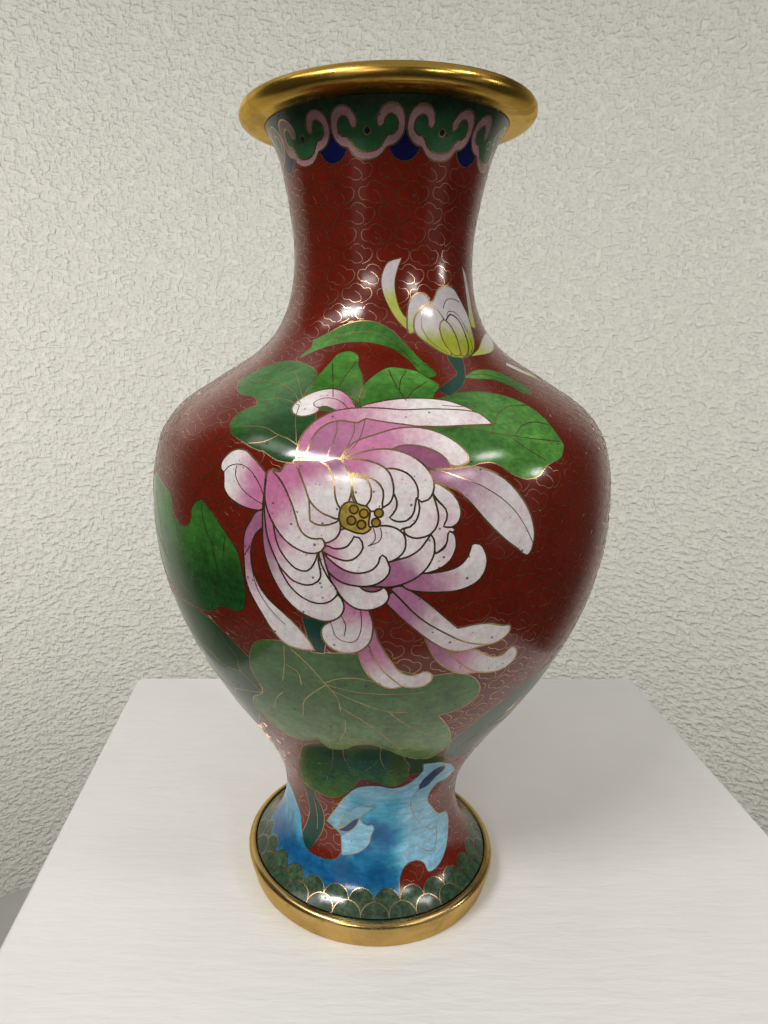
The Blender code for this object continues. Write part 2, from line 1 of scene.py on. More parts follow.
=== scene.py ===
"""Looks of the cloisonne vase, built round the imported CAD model.

The enamel is laid out on the same chart as the CAD: angle round the axis in
degrees (0 = front, positive to the viewer's right) by arc length in
millimetres up the outer profile.  Every coloured cell is an outline on that
chart, listed from the bottom layer to the top one.  One triangulation of all
outlines gives the enamel pieces, and its inner edges give the brass wires.
"""
import math
import random

import bpy
import numpy as np
from mathutils import Matrix, Vector
from mathutils.geometry import delaunay_2d_cdt


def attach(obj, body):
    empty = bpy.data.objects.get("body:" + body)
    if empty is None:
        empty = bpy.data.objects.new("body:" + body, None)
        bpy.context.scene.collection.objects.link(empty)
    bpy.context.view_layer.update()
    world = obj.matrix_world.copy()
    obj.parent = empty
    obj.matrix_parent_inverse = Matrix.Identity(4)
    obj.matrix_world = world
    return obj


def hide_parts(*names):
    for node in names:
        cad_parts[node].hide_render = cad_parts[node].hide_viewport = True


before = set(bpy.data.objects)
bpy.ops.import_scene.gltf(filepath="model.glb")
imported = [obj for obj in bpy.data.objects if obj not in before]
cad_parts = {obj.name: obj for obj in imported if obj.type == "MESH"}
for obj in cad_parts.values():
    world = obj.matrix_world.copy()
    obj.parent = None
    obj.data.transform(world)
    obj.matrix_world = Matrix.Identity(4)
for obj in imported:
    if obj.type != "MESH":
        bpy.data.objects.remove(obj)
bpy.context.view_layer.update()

MM = 0.001
SEED = 11

# ---------------------------------------------------------------- profile
# Outer surface of the enamel, (radius, height) in millimetres, foot to rim; the
# same rows as the CAD model.  Both end rows and the radii from height 33.4 to
# 248.0 are the rounded result of a fit to the outlines of the vase and its
# rings.  The four rows between 9.5 and 33.4 are a flare, given one by one rather than fitted.
PROFILE = [
    (42.5, 9.5), (39.2, 12.0), (35.8, 16.0), (33.0, 21.5), (31.4, 27.5), (31.0, 33.4),
    (31.9, 41.1), (34.6, 48.8), (38.6, 56.5), (45.0, 66.8), (52.1, 77.1), (59.6, 89.9),
    (65.7, 102.8), (70.2, 115.6), (72.9, 128.5), (73.7, 138.8), (73.4, 149.0),
    (72.2, 156.8), (69.7, 164.5), (63.5, 172.2), (52.0, 179.9), (40.0, 187.6),
    (32.9, 195.3), (28.9, 205.6), (27.8, 218.4), (29.3, 231.3), (31.4, 241.5),
    (33.3, 248.0), (36.9, 254.3),
]
STEPS_PER_SPAN = 12         # samples between profile rows
NORMAL_WINDOW = 15          # samples over which the wall's normal is averaged

S_FOOT = 0.35               # lower edge of the enamel
S_BORDER = 5.0              # top of the plain part of the scale border
S_COLLAR = 266.4            # lower edge of the collar ground
S_RIM_TRIM = 0.6
ENAMEL_THICKNESS = 0.9
OUTLINE_STEP = 1.1          # millimetres between points on an outline
GRID_FRONT = 2.3            # millimetres between inner points, decorated side
GRID_BACK = 3.6
FRONT_HALF_WIDTH = 92.0     # degrees
BAND_PARTS = 240            # divisions of an edge that runs all round
SHORTEST_EDGE = 0.05        # millimetres; wires skip points closer than this
# Painted shade: a plate's sides and back get the paint of its top darkened by this factor.
SIDE_AND_BACK_PAINTED_SHADE = 0.6          # paint of a plate's sides and back, next to its top
LATHE_SEGMENTS = 256
SHARP_ANGLE = 40.0          # degrees; flatter edges of a turned piece are smooth

WIRE_WIDTH = 0.27
VEIN_WIDTH = 0.23
PETAL_WIRE_WIDTH = 0.46
SCROLL_WIDTH = 0.21
WIRE_LIFT = 0.035
WIRE_DEPTH = 0.35

# Cloud scrolls of the red ground, millimetres round the middle of one cloud.
CLOUD_PITCH = 10.3
CLOUD_ROWS = 5.4
CLOUD_SIZE = 0.80
CLOUD_TOP_ROW = 260.8
CLOUD_LOW_ROW = 8.5
CLOUD_TURN = -14.5
CLOUD_GROWTH = (0.94, 1.04)     # hand-made unevenness: size,
CLOUD_SHIFT = 0.04              # sideways in cloud widths,
CLOUD_RISE = 0.25               # and up or down in millimetres
CLOUD_COUNT_STEP = 6            # clouds in a row are a multiple of this, so rows interlock
# One cloud is one bent wire; a third number marks a sharp bend.
CLOUD = [
    (-0.9, 0.9), (0.8, -0.1), (1.8, -1.4), (1.7, -2.7), (0.4, -3.3), (-1.2, -3.2),
    (-2.4, -2.3), (-4.4, -2.1), (-5.4, -1.1), (-5.6, 0.4), (-5.0, 1.6), (-2.9, 1.7, 1),
    (-2.0, 3.0), (-0.1, 3.5), (1.4, 2.9), (2.6, 1.7, 1), (4.6, 1.8), (5.5, 0.6),
    (5.3, -1.1), (4.5, -2.1), (2.8, -3.2), (1.8, -3.5),
]
HEAVY_WIRE_PIECES = {"chrysanthemum", "flower_centre", "bud", "ruyi_heads"}

# ---------------------------------------------------------------- colours


def rgb(red, green, blue):
    """Linear colour from the usual 0 to 255 numbers."""
    found = []
    for value in (red, green, blue):
        c = value / 255.0
        found.append(c / 12.92 if c <= 0.04045 else ((c + 0.055) / 1.055) ** 2.4)
    return np.array(found)


RED = rgb(104, 26, 11)
PETAL = rgb(236, 229, 228)
BLUSH = rgb(224, 178, 200)
PINK = rgb(198, 124, 162)
MAUVE = rgb(170, 112, 146)
PLUM = rgb(150, 92, 122)
OCHRE = rgb(178, 150, 70)
OCHRE_DARK = rgb(148, 120, 46)
# Emerald, collar green and band mauve are their own colours, darkened partly as painted shade from the
# rim above.
EMERALD = rgb(40, 88, 52)
COLLAR = rgb(32, 62, 42)
BAND = rgb(160, 122, 126)
NAVY = rgb(10, 14, 66)
NAVY_DARK = rgb(16, 20, 50)
SLOT = rgb(40, 62, 108)
SCALE = rgb(58, 80, 58)
SCALE_LOW = rgb(50, 72, 52)
ICE = rgb(136, 186, 210)
SKY = rgb(118, 170, 202)
DEEP = rgb(16, 84, 134)
SLATE = rgb(112, 160, 172)
LEAF = rgb(52, 106, 38)
LEAF_LIGHT = rgb(80, 138, 60)
LEAF_MID = rgb(56, 96, 42)
LEAF_DARK = rgb(26, 70, 28)
LEAF_DEEP = rgb(24, 58, 28)
LEAF_PALE = rgb(100, 130, 78)
TEAL = rgb(4, 62, 50)
LIME = rgb(154, 164, 26)
LIME_PALE = rgb(176, 184, 84)
BUD_WHITE = rgb(208, 202, 206)
TURQUOISE = rgb(66, 158, 190)

# ---------------------------------------------------------------- picture
# One row per cell: outline, first colour, second colour, and the two chart
# points between which the first turns into the second.  A third number in a
# point marks a sharp corner.
ROCK = [
    ([(-99, 4, 1), (-96, 9), (-98.5, 14), (-94, 17.5, 1), (-95, 22), (-89, 26.5), (-84, 25.8, 1),
      (-79, 29.6), (-70, 30.8), (-62, 30), (-56, 27.5), (-51, 24.5),
      (-46, 18.6), (-39, 15.3), (-28, 15), (-19, 16.5), (-16.2, 20.5), (-17.5, 24.5),
      (-23, 27), (-27.5, 28.3, 1), (-20, 35.5), (-12, 44), (-5, 49.5), (5, 50.6), (10, 49),
      (16, 49.6), (20, 52.5), (22.5, 57.5), (21, 63.8, 1), (28, 62.5), (36, 58.5), (44, 52.5),
      (49, 48.5, 1), (43, 45.3), (39, 46), (35.6, 42), (36, 37.5), (42, 32.5), (50, 27.8),
      (58, 26.2), (61.5, 23), (58, 17.8), (50, 13.2), (42, 11), (35, 11), (33.5, 14),
      (29, 15.6), (22, 15.1), (18, 12), (16.5, 4, 1)],
     "rock", None, None),
    ([(-17.6, 24.3, 1), (-13, 26.4), (-9, 29), (-5.8, 32.2), (-3.5, 30.4), (-1, 29.8), (1.4, 30.4),
      (2.7, 28.6), (1.2, 26.4), (0.4, 23.6), (-3, 21.2), (-9, 19), (-16.3, 17.9, 1)],
     ICE, ICE, None),
    ([(-20, 27, 1), (-17, 31), (-11, 36), (-4, 38.6), (3, 38.1, 1), (-1, 36), (-5, 33.8),
      (-6, 33, 1), (-10, 31.5), (-15, 28.5)],
     SLATE, SKY, ((-17, 29), (-2, 38))),
    ([(-20, 26.2, 1), (-14, 26.4), (-9, 28.8), (-6, 33, 1), (-10, 31.5), (-15, 28.5)],
     SLOT, SLOT, None),
    ([(26.3, 45.2, 1), (30, 46), (33, 51), (35.6, 55.5), (34, 58), (30.4, 58.2), (27, 54),
      (25.3, 49)],
     SLOT, SLOT, None),
]

# Shading of the rock: arc lengths in millimetres and degrees from the front.
ROCK_ICE_LEVEL = 37.0       # icy above this
ROCK_HORN = 17.0            # and to the right of this
ROCK_BULGE_LEFT = 9.0       # an icy bulge lies between these two, to the left,
ROCK_BULGE_END = 38.0
ROCK_BULGE_LEVEL = 25.0     # and above this
ROCK_HILL_LEFT = 42.0       # the left hill starts here and is icy above its level
ROCK_HILL_LEVEL = 22.0
ROCK_POOL_LEVEL = 21.0      # deep blue below this, and below this plus the rise
ROCK_POOL_RISE = 13.0       # in the middle
ROCK_POOL_END = 12.0        # and none to the right of this

LEAVES = [
    ("stem_low", [
        (-46, 18.6), (-39, 15.3), (-34, 19.5), (-30, 25), (-30, 32), (-34, 37),
        (-35, 43), (-41, 43), (-42, 35), (-41.5, 28), (-44, 23)],
     LEAF_DEEP, TEAL, ((-38, 40), (-40, 20))),
    ("leaf_low_left", [
        (-41, 41), (-33, 39.8), (-25, 39.5), (-18, 41), (-11, 46), (-6, 52), (-6, 72),
        (-14, 77), (-23, 73), (-30, 63), (-36.5, 54), (-40.5, 47)],
     LEAF_MID, LEAF_DEEP, ((-24, 46), (-14, 74))),
    ("leaf_low_middle", [
        (-8, 77), (-9, 64), (-5, 55), (0, 54.5), (6, 51.4), (11, 50), (14.8, 52),
        (16.5, 58), (15.2, 64), (12, 70), (8, 76), (0, 82)],
     LEAF_MID, LEAF_DEEP, ((10, 52), (0, 78))),
    ("leaf_low_right", [
        (12, 71), (15.2, 64), (17, 57.5), (22.5, 57.5), (21, 63.8), (28, 62.5), (31.5, 64),
        (26, 68), (18, 71)],
     LEAF_DEEP, LEAF_DEEP, None),
    ("leaf_left_dark", [
        (-46, 121.6), (-40, 120), (-34, 115), (-30.4, 110.8), (-28.6, 106), (-30, 100),
        (-29.4, 95.5), (-34, 88), (-40, 79.5), (-45, 73.5), (-52, 69.5), (-60, 70.5), (-66, 76),
        (-67.5, 81, 1), (-74, 83), (-79, 91), (-77, 99), (-72.5, 102, 1), (-74, 109), (-70, 116),
        (-62, 119.5), (-54, 121.4)],
     LEAF_DEEP, LEAF_DARK, ((-32, 98), (-62, 108))),
    ("leaf_right_dark", [
        (30.5, 64.8), (27.6, 71), (26.8, 78), (29.7, 84), (33, 88.8), (38.3, 94.6), (44.3, 98.8),
        (52, 101.5), (60, 102.5), (65.5, 99.5), (66.5, 95.5, 1), (72, 94.5), (76, 89), (74.5, 83),
        (70, 80.5, 1), (71.5, 75), (68, 68.5), (59, 65), (47, 61), (37, 61.6)],
     LEAF_DARK, LEAF_DEEP, ((32, 84), (50, 66))),
    ("leaf_large_low", [
        (-29.5, 113, 1), (-27.4, 117), (-21, 120), (-12, 118.4), (-3, 118.6), (5, 114), (12, 111.5),
        (20, 111.3), (24.3, 108), (26.8, 103), (26.5, 99), (23, 95.8), (17.5, 94, 1), (21.5, 88),
        (24.5, 82), (26, 76), (25, 70.5), (21.5, 67.6), (16.5, 68.6), (11, 72), (5, 76.5),
        (0, 79.5), (-5, 78.5), (-9, 75), (-13.5, 73.8), (-17, 79, 1), (-22, 76), (-29, 75.5),
        (-35, 79), (-38, 86), (-35.5, 92), (-30.5, 96.5), (-29.5, 99.5, 1), (-31, 106)],
     LEAF_MID, LEAF_PALE, ((-4, 112), (2, 76))),
    ("leaf_left_side", [
        (-58, 155.8), (-52, 153.8), (-49.5, 148.2), (-46, 146.6), (-43, 148.5),
        (-42.5, 152.4), (-39.5, 155.4), (-36, 153), (-31.5, 148), (-28.7, 144), (-27.6, 138),
        (-27.4, 131), (-29, 126.8), (-35, 126.2), (-38.5, 123.6), (-46, 122.2), (-54, 123.5),
        (-60, 124.5), (-66, 128), (-67.5, 132, 1), (-72, 133), (-76, 139), (-75, 146),
        (-70.5, 149, 1), (-70, 153.5), (-65, 157)],
     LEAF, LEAF_DARK, ((-38, 152), (-34, 130))),
    ("leaf_cluster_left", [
        (-52, 195.4), (-50, 200.2), (-46, 203), (-40, 205), (-33, 205), (-27, 203.6),
        (-21.8, 200.5), (-19.5, 194), (-16, 186), (-14, 176), (-15, 169), (-20, 168.2),
        (-24.4, 170.4, 1), (-26, 170.6), (-31, 172.6), (-35.2, 174.6), (-37, 178), (-36, 182),
        (-33, 184.8, 1), (-36, 187.6), (-43, 188.6), (-48, 190.8)],
     LEAF, LEAF_DARK, ((-34, 190), (-20, 182))),
    ("leaf_arching", [
        (-34, 206.4, 1), (-33.2, 209), (-31.6, 211.6), (-33, 214, 1), (-27, 216.2), (-20, 218.8),
        (-10, 220.5), (-2, 220), (5, 217.6), (11, 213), (15.5, 207.4), (18.6, 199.5), (15.2, 198.6),
        (11, 206.4), (6, 210.6), (-2, 213), (-12, 213.6), (-22, 212.2), (-28.5, 210)],
     LEAF_LIGHT, LEAF, ((-24, 212), (6, 216))),
    ("leaf_upper_small", [
        (-20.5, 187), (-20.6, 198), (-19.2, 205), (-17, 209.2), (-12.5, 210.1), (-9, 208.6),
        (-7.8, 204.4), (-6, 200.6), (-4.8, 195), (-5, 186)],
     LEAF, LEAF_LIGHT, ((-12, 192), (-14, 208))),
    ("leaf_upper_middle", [
        (-4.8, 186), (-4.3, 196), (-0.5, 201.4), (3.5, 203.6), (8.5, 203), (12.5, 201.8),
        (15.8, 198.4), (18, 196), (15, 191), (13, 186)],
     LEAF, LEAF_LIGHT, ((4, 188), (6, 202))),
    ("leaf_right_small", [
        (28, 198.6, 1), (34, 201.3), (40, 202.3), (46, 200.8), (50, 196.2), (50.8, 190.6),
        (47, 189.8), (44, 194), (39.5, 197), (33, 197.8)],
     LEAF_LIGHT, LEAF, ((32, 200), (48, 196))),
    ("leaf_right_large", [
        (9, 184), (17, 190.2), (22, 192), (28, 192.4), (34, 191.4), (39, 189.2), (42.2, 185.4),
        (43.8, 180), (44.2, 175), (44.6, 171.4), (42.4, 168.4), (37, 166.6), (34, 164.2),
        (31, 163.9), (27.6, 165.4), (24, 168.4), (14, 168), (9, 174)],
     LEAF, LEAF_LIGHT, ((16, 176), (36, 172))),
    ("stem_under_flower", [
        (-14.6, 128.6, 1), (-9.8, 129, 1), (-9.6, 124), (-10.4, 118, 1), (-13.2, 118, 1)],
     TEAL, TEAL, None),
]

BUD = [
    ("bud_stem", [
        (33.2, 209.4), (29, 209), (26.6, 200.5), (21, 196.6), (16.6, 193.3, 1), (19.5, 190.8, 1),
        (25, 194.5), (29.4, 199.5)],
     TEAL, TEAL, None),
    ("bud_petal_left", [
        (15.2, 216.4, 1), (10, 219.4), (4.5, 224), (0.4, 229), (-0.2, 233.4), (3, 237),
        (10.9, 238.3, 1), (7.4, 232.6), (8.4, 226.6), (12, 222), (15, 220.4, 1)],
     LIME_PALE, BUD_WHITE, ((6, 226), (3, 232))),
    ("bud_petal_right", [
        (54.5, 219), (58.5, 225), (59.6, 231), (56.4, 237.2, 1), (61.4, 234.8), (64.4, 230),
        (62.6, 223.6), (57.6, 218.4)],
     LIME_PALE, BUD_WHITE, ((60, 220), (60, 230))),
    ("bud_petal_low", [
        (37.5, 207.8, 1), (48, 210.8), (58, 214.4), (70, 216.6), (84, 216.2, 1), (72, 212.8),
        (58, 209.6)],
     LIME_PALE, BUD_WHITE, ((44, 209), (72, 215))),
    ("bud_petal_tip", [
        (57.5, 203.5, 1), (60, 204.5), (66, 201.5), (73, 196, 1), (70, 195.5), (63, 198.5)],
     BUD_WHITE, LIME_PALE, ((60, 203), (72, 196))),
    ("bud", [
        (29, 208.4), (35, 207.4), (46, 211), (53, 217), (55.4, 222.4), (51.6, 227),
        (46, 230.4), (39, 231), (33, 229.6), (29, 226.4), (22, 226), (17, 222), (16.4, 217.6),
        (21, 213)],
     LIME, BUD_WHITE, ((33, 214), (33.5, 222.5))),
    ("bud", [
        (14, 216.4), (13.4, 222), (16, 227), (21, 228.8), (26, 228), (27.4, 225, 1), (21, 223),
        (18, 218)],
     LIME_PALE, BUD_WHITE, ((17, 216), (20, 225))),
    ("bud", [
        (30, 208.6), (22, 212.6), (16.4, 217.4), (18, 222.2), (24, 225.2), (30, 224.6),
        (34.6, 221), (33, 213)],
     LIME, BUD_WHITE, ((28, 213), (26, 221))),
    ("bud", [
        (36, 208), (43, 212), (46, 217), (45, 221), (40, 222.7), (36, 221), (34, 214)],
     LIME, BUD_WHITE, ((39, 213), (40, 222))),
    ("bud", [
        (32, 208.4), (30.2, 212), (29.8, 216), (31.2, 219.6), (34.3, 221.1), (37.4, 219.6),
        (38.6, 216), (37.2, 212), (34, 208.4)],
     LIME, BUD_WHITE, ((33, 215), (33.5, 222))),
]

# The chrysanthemum, outermost petals first.
FLOWER = [
    ([(-5, 184.5), (-5.8, 186.2), (-7, 188.6), (-9, 191.3), (-11.5, 193), (-14, 193.4),
      (-17, 192.6), (-19.6, 190.9), (-21.4, 188.6), (-22.2, 186.3), (-22.1, 184.4), (-21, 182.7),
      (-19, 181.7), (-17, 182), (-15.3, 183.2), (-14.7, 184.3), (-15, 185.3), (-14.4, 185.9),
      (-13, 185.9), (-11.8, 185.3), (-10.7, 184.6), (-9, 183.6)],
     PINK, PETAL, ((-7.5, 187.5), (-17.5, 188.5))),
    ([(-5.2, 185.8, 1), (-4, 186.8), (-2, 187.7), (1, 188.8), (5, 189.7), (10, 190), (15, 189.6),
      (19, 188.4), (22, 186.3), (24, 184.3), (26, 181.2), (26.6, 179.4, 1), (20, 179.3),
      (9, 179.4), (0, 182), (-5, 184)],
     BLUSH, PETAL, ((-3, 187), (7, 188))),
    ([(-16.4, 168.6, 1), (-16.8, 172.5), (-16.5, 175.8), (-15.3, 179), (-13.6, 181.6),
      (-11, 184.1), (-8, 185.3), (-4, 185.9), (0, 185.9), (6, 185.3), (12, 185.6), (18, 185.3),
      (22, 184.7), (24.4, 183.8), (26, 181.2), (26.6, 179.4, 1), (20, 179.4), (13, 179.2),
      (9, 179.3), (4, 178), (0, 176), (-8, 171)],
     PINK, PETAL, ((-10, 178), (12, 183))),
    ([(-14.9, 168.4, 1), (-14.4, 172.5), (-13.8, 176), (-12.5, 178.5), (-10.5, 180.3),
      (-8.5, 180.8), (-6, 180.4), (-4.6, 180.3), (-3.7, 181.2), (-3, 181.8, 1), (-1, 181.3),
      (2, 180.6), (6, 179.9), (9, 179.3), (12, 179.1, 1), (8, 178), (0, 175), (-5, 168)],
     MAUVE, PINK, ((-10, 173), (4, 180))),
    ([(9.7, 167.6, 1), (13, 167.5), (16, 167.7), (18.5, 168), (21, 167.4), (23.5, 166.2),
      (26, 164.2), (28, 161.7), (29.6, 159), (31, 156.2), (32, 153), (32.5, 150), (32.2, 147),
      (31.5, 145), (30.9, 144.6, 1), (30, 145.1), (28.5, 146.7), (26.5, 148.5), (24.5, 150.6),
      (22.5, 153), (20.5, 155.6), (18.5, 158.5), (17, 160.5), (15.3, 162.4), (13, 163.6),
      (11.5, 164.4), (9, 165)],
     MAUVE, PETAL, ((13, 166), (26, 156))),
    ([(1, 172), (4.5, 173.7), (8, 174.4), (11, 173.4), (13.5, 171), (14.6, 168.3), (14.2, 167.5, 1),
      (11, 167.7), (8.5, 168), (5, 170)],
     PLUM, PLUM, None),
    ([(-7.4, 169.9, 1), (-6.4, 172.2), (-5, 174.3), (-3, 175.6), (0, 177), (3, 178.4), (6, 179),
      (9, 178.9), (12, 177.9), (14.8, 176), (17, 173.6), (18.2, 171.2), (18.2, 169.4), (17, 168.5),
      (15.2, 168.2), (14.3, 168.5), (13.6, 170), (12, 171.8), (10, 173), (7, 173.8), (4, 173.4),
      (2, 172), (-3, 169)],
     PINK, PETAL, ((1, 175), (13, 175))),
    ([(-22.4, 164.6), (-23.6, 166), (-25, 167.3), (-27, 169), (-29.5, 170.3), (-31.6, 170),
      (-33.4, 168.3), (-34.5, 166), (-34.2, 164.3), (-33.3, 163.7, 1), (-33, 161.8),
      (-32.7, 159.8), (-31.4, 158), (-29, 156.5), (-26.5, 155.7), (-24, 155.5), (-22, 155.8),
      (-21.5, 160)],
     PINK, PETAL, ((-25, 163), (-31.5, 164))),
    ([(-22, 155.8), (-24, 155.3), (-25.5, 152.5), (-26.6, 150), (-27.1, 147), (-27.1, 143.7),
      (-27, 140.5), (-26.9, 137), (-26.3, 134), (-25, 130.5), (-23.5, 127), (-22, 123.5),
      (-20.5, 121), (-19, 119.4), (-17, 118.6), (-15, 118.4), (-12.5, 118.8, 1), (-13.5, 121.5),
      (-15, 124.4), (-17, 127.2), (-19, 129.5), (-21, 131.5), (-22.8, 134), (-24, 136.6),
      (-24.9, 139.5), (-25.3, 142.4), (-25.3, 144.8), (-24.9, 147.4), (-23.9, 149.8),
      (-22.7, 151.3), (-21.8, 153.5)],
     MAUVE, PETAL, ((-26, 147), (-23, 129))),
    ([(-1.2, 123), (0.1, 127), (0.8, 124), (1.7, 121.5), (2.7, 119), (3.8, 116.5), (5.2, 114),
      (6.5, 112.6), (8, 111.8), (9.3, 111.6), (10.1, 112.2), (10.9, 112.9), (12, 112.8),
      (12.9, 111.9), (13.2, 110.6), (12.9, 109.2), (12, 108), (10.5, 107.3), (8.5, 107.2),
      (6.7, 107.8), (4.5, 110), (1, 115)],
     PINK, PETAL, ((1.5, 121), (8, 110.5))),
    ([(-1.2, 122.3), (-0.6, 119.8), (0.3, 117.2), (1.5, 114.6), (3, 112.2), (4.5, 110.2),
      (6, 108.4), (6.6, 107.7, 1), (5, 107), (3.5, 107.1), (2, 107.9), (0.5, 109.4), (-0.8, 111.4),
      (-1.8, 113.7), (-2.5, 116), (-3, 118.5), (-3, 121)],
     PINK, PETAL, ((-1.5, 120), (3, 109.5))),
    ([(-6.2, 134.5), (-6.6, 131), (-7.6, 129.2), (-8.8, 128.2), (-9.9, 127.2), (-10.6, 125.8),
      (-10.7, 123.8), (-10.1, 121.8), (-9, 120.3), (-7.5, 119.3), (-5.8, 118.9), (-4, 119.2),
      (-2.4, 120.3), (-1.3, 121.8), (-0.6, 123.5), (-0.3, 125.5), (-0.2, 127.5), (-0.4, 129.8),
      (-1, 132), (-1.2, 134.5)],
     PINK, PETAL, ((-3.8, 132.5), (-5, 125))),
    ([(10.3, 124), (11.5, 120.8), (12.6, 118.3), (14, 116), (16, 113.7), (18, 112.1), (20, 111.1),
      (22, 110.7), (24.5, 110.8, 1), (21, 113.5), (18, 117), (15, 121.5)],
     MAUVE, BLUSH, ((13, 118), (22, 111))),
    ([(14.6, 121), (15.6, 119.7), (18, 118.5), (21.7, 119.3), (23.5, 117.8), (25, 116.6),
      (27, 115.5), (29, 115.2), (30.1, 115.8), (30.8, 117), (31.6, 117.7), (32.5, 117.3),
      (33.4, 116), (34, 114), (33.5, 112), (32, 110.3), (30, 109.7), (27.5, 109.7), (25, 110.4),
      (23, 111.3), (21, 113), (19, 115), (17, 117.5)],
     PINK, PETAL, ((18, 118), (26, 113))),
    ([(2, 135.5), (2.4, 134), (3.6, 132.4), (5.5, 129.9), (8, 127), (10.5, 124.2), (12.5, 122.3),
      (14.5, 120.6), (16, 119.7), (18, 119.2), (20, 119.2), (22, 119.7), (24.5, 120.35, 1),
      (22, 122), (15, 126), (8, 132.5), (3.8, 137.8)],
     MAUVE, PETAL, ((6, 131.5), (14, 123))),
    ([(3, 138.2), (4, 136.8), (5.5, 134.7), (7.5, 131.9), (10, 129.1), (13, 126.5), (15.5, 124.5),
      (18, 122.7), (20.5, 121.4), (23, 120.6), (25.2, 120.3), (27.2, 120.7), (28.8, 121.9),
      (29.7, 123.5), (29.6, 124.9), (28.9, 125.6), (28, 125.5), (26, 126.1), (23.5, 127),
      (20.5, 127.2), (18.2, 126.8), (17, 126.6, 1), (15.8, 128), (14, 130.1), (12, 132.5),
      (10, 134.8), (8.2, 136.6), (6.5, 138.1), (5.4, 139)],
     MAUVE, PETAL, ((7, 136), (15.5, 127))),
    ([(-10, 166), (-2, 171), (6, 169.5), (10.6, 163), (10.8, 161.3), (13, 158), (14.5, 153.4),
      (14.9, 152.9), (14.4, 152.3), (13.5, 150), (11.5, 147.4), (6, 146), (-2, 145), (-9, 148)],
     PETAL, PETAL, None),
    ([(5.2, 139), (6.5, 138), (8, 137.6), (10, 137.3), (12.5, 137.2), (15.5, 137.3), (18, 138.1),
      (19.8, 139.3), (21, 141), (21.6, 143), (21.6, 145.4), (21, 147.4), (20, 149), (19, 149.3),
      (18.3, 149), (18, 147.7), (17.5, 146), (16.5, 144.4), (15, 143.3), (13, 142.7), (11, 142.4),
      (9, 142.3), (7, 143)],
     MAUVE, PETAL, ((9, 140), (18, 143))),
    ([(-10.4, 145.5), (-9.6, 142.5), (-8.4, 139.6), (-7, 136.7), (-6, 134.9), (-5, 133.7),
      (-3.5, 132.6), (-2, 132.3), (-0.5, 132.5), (1, 133.3), (2.2, 134.6), (2.7, 136.2),
      (2.4, 137.6), (1.4, 138.9), (-2, 140), (-6, 142)],
     MAUVE, PETAL, ((-8, 141), (-3.5, 136))),
    ([(10, 151), (11, 148), (11.2, 147.2), (12, 147.7), (13, 148.8), (13.4, 150.3), (13.5, 152),
      (13.8, 152.6), (14.6, 152.1), (15.1, 150.5), (15.2, 149), (14.8, 147), (14, 145.2),
      (12.6, 143.7), (11, 142.8), (9, 142.3), (7.5, 143)],
     PETAL, PETAL, None),
    ([(2, 145), (10.2, 152, 1), (10.8, 150.8), (11, 149), (10.9, 147), (10.3, 145), (9, 142.6),
      (7.5, 141), (5.5, 139.7), (3, 138.8), (1, 138.7), (-1, 139), (0, 142)],
     MAUVE, PETAL, ((5, 142.5), (9.5, 147.5))),
    ([(2.3, 145.1, 1), (4, 145.8), (5.5, 146.3), (7, 147.2), (8.3, 148.5), (9.3, 150.3),
      (10.1, 152), (8, 153.5), (5, 153.5), (3, 150)],
     PETAL, PETAL, None),
    ([(7.8, 160.6), (8, 158.5), (7.8, 156.8), (7.2, 155), (6.3, 153.9), (5.3, 153.5), (5.1, 152.9),
      (6, 151.6), (7.5, 151.1), (9, 151.4), (10.2, 152.1), (11, 153.2), (11.5, 154.8),
      (11.6, 156.5), (11.3, 158.5), (10.9, 160.3), (10.6, 161.4), (9, 162.5)],
     PETAL, PETAL, None),
    ([(10.8, 161.3, 1), (11.3, 160.4), (12.2, 159.2), (13, 158), (13.3, 156.8), (13.2, 155.5),
      (12.8, 154.5), (12.6, 153.8, 1), (13.3, 153.6), (14.3, 153.6), (15.2, 154.3), (15.9, 155.8),
      (16, 157.5), (15.6, 159.5), (14.6, 161.4), (13.2, 162.9), (11.8, 164), (10.6, 164.6),
      (10, 163.5), (10.5, 162.3)],
     PETAL, PETAL, None),
    ([(-7.4, 169.9, 1), (-5, 170.9), (-2, 172.2), (2, 172.7), (5, 171.9), (8, 169.8), (10, 167),
      (10.8, 164.5), (10.6, 162), (9.6, 160.3), (8.4, 159.8), (7.6, 160.5), (6, 162), (2, 166),
      (-3, 168)],
     PINK, PETAL, ((-2, 171), (6, 168))),
    ([(1, 167.4), (2.4, 167.8), (4, 167.5), (5.7, 166.6), (7, 164.9), (7.7, 162.8), (7.7, 160.9, 1),
      (7.35, 160.7), (7.2, 159.3), (7, 157.7), (6.4, 156.2), (5.5, 155.3), (4.3, 155.1),
      (3, 155.5), (2.4, 156.1, 1), (3, 156.9), (3.6, 158.2), (3.7, 160), (3.2, 161.6, 1), (2, 164)],
     PETAL, PETAL, None),
    ([(-7.4, 169.9, 1), (-4, 169.9), (-1, 169.3), (1, 168.2), (2.2, 166.8), (2.8, 165),
      (3.1, 162.8), (2.9, 160.8), (2.2, 159.3), (1.2, 158.5, 1), (0, 160), (-1, 162), (-3, 163),
      (-6, 165), (-7, 167)],
     PINK, PETAL, ((-4, 168.8), (1.2, 165))),
    ([(-4.9, 166.6, 1), (-3, 165.9), (-1, 165.2), (0.2, 164.2), (1, 162.8), (1.2, 161), (1, 159.5),
      (1.1, 158.4), (-1.5, 157.5), (-4, 159), (-5, 162)],
     PETAL, PETAL, None),
    ([(-4.8, 165.6), (-3.4, 165.5), (-2, 165), (-1.4, 163.8), (-1.1, 162), (-1.3, 160.1),
      (-1.9, 158.9), (-3, 158.5), (-4, 159.8), (-4.6, 162), (-4.85, 164)],
     PETAL, PETAL, None),
    ([(-9.5, 149), (-7, 152.5), (-2, 153.5), (1, 154.1), (2.5, 154), (4, 153.3), (5, 152.3),
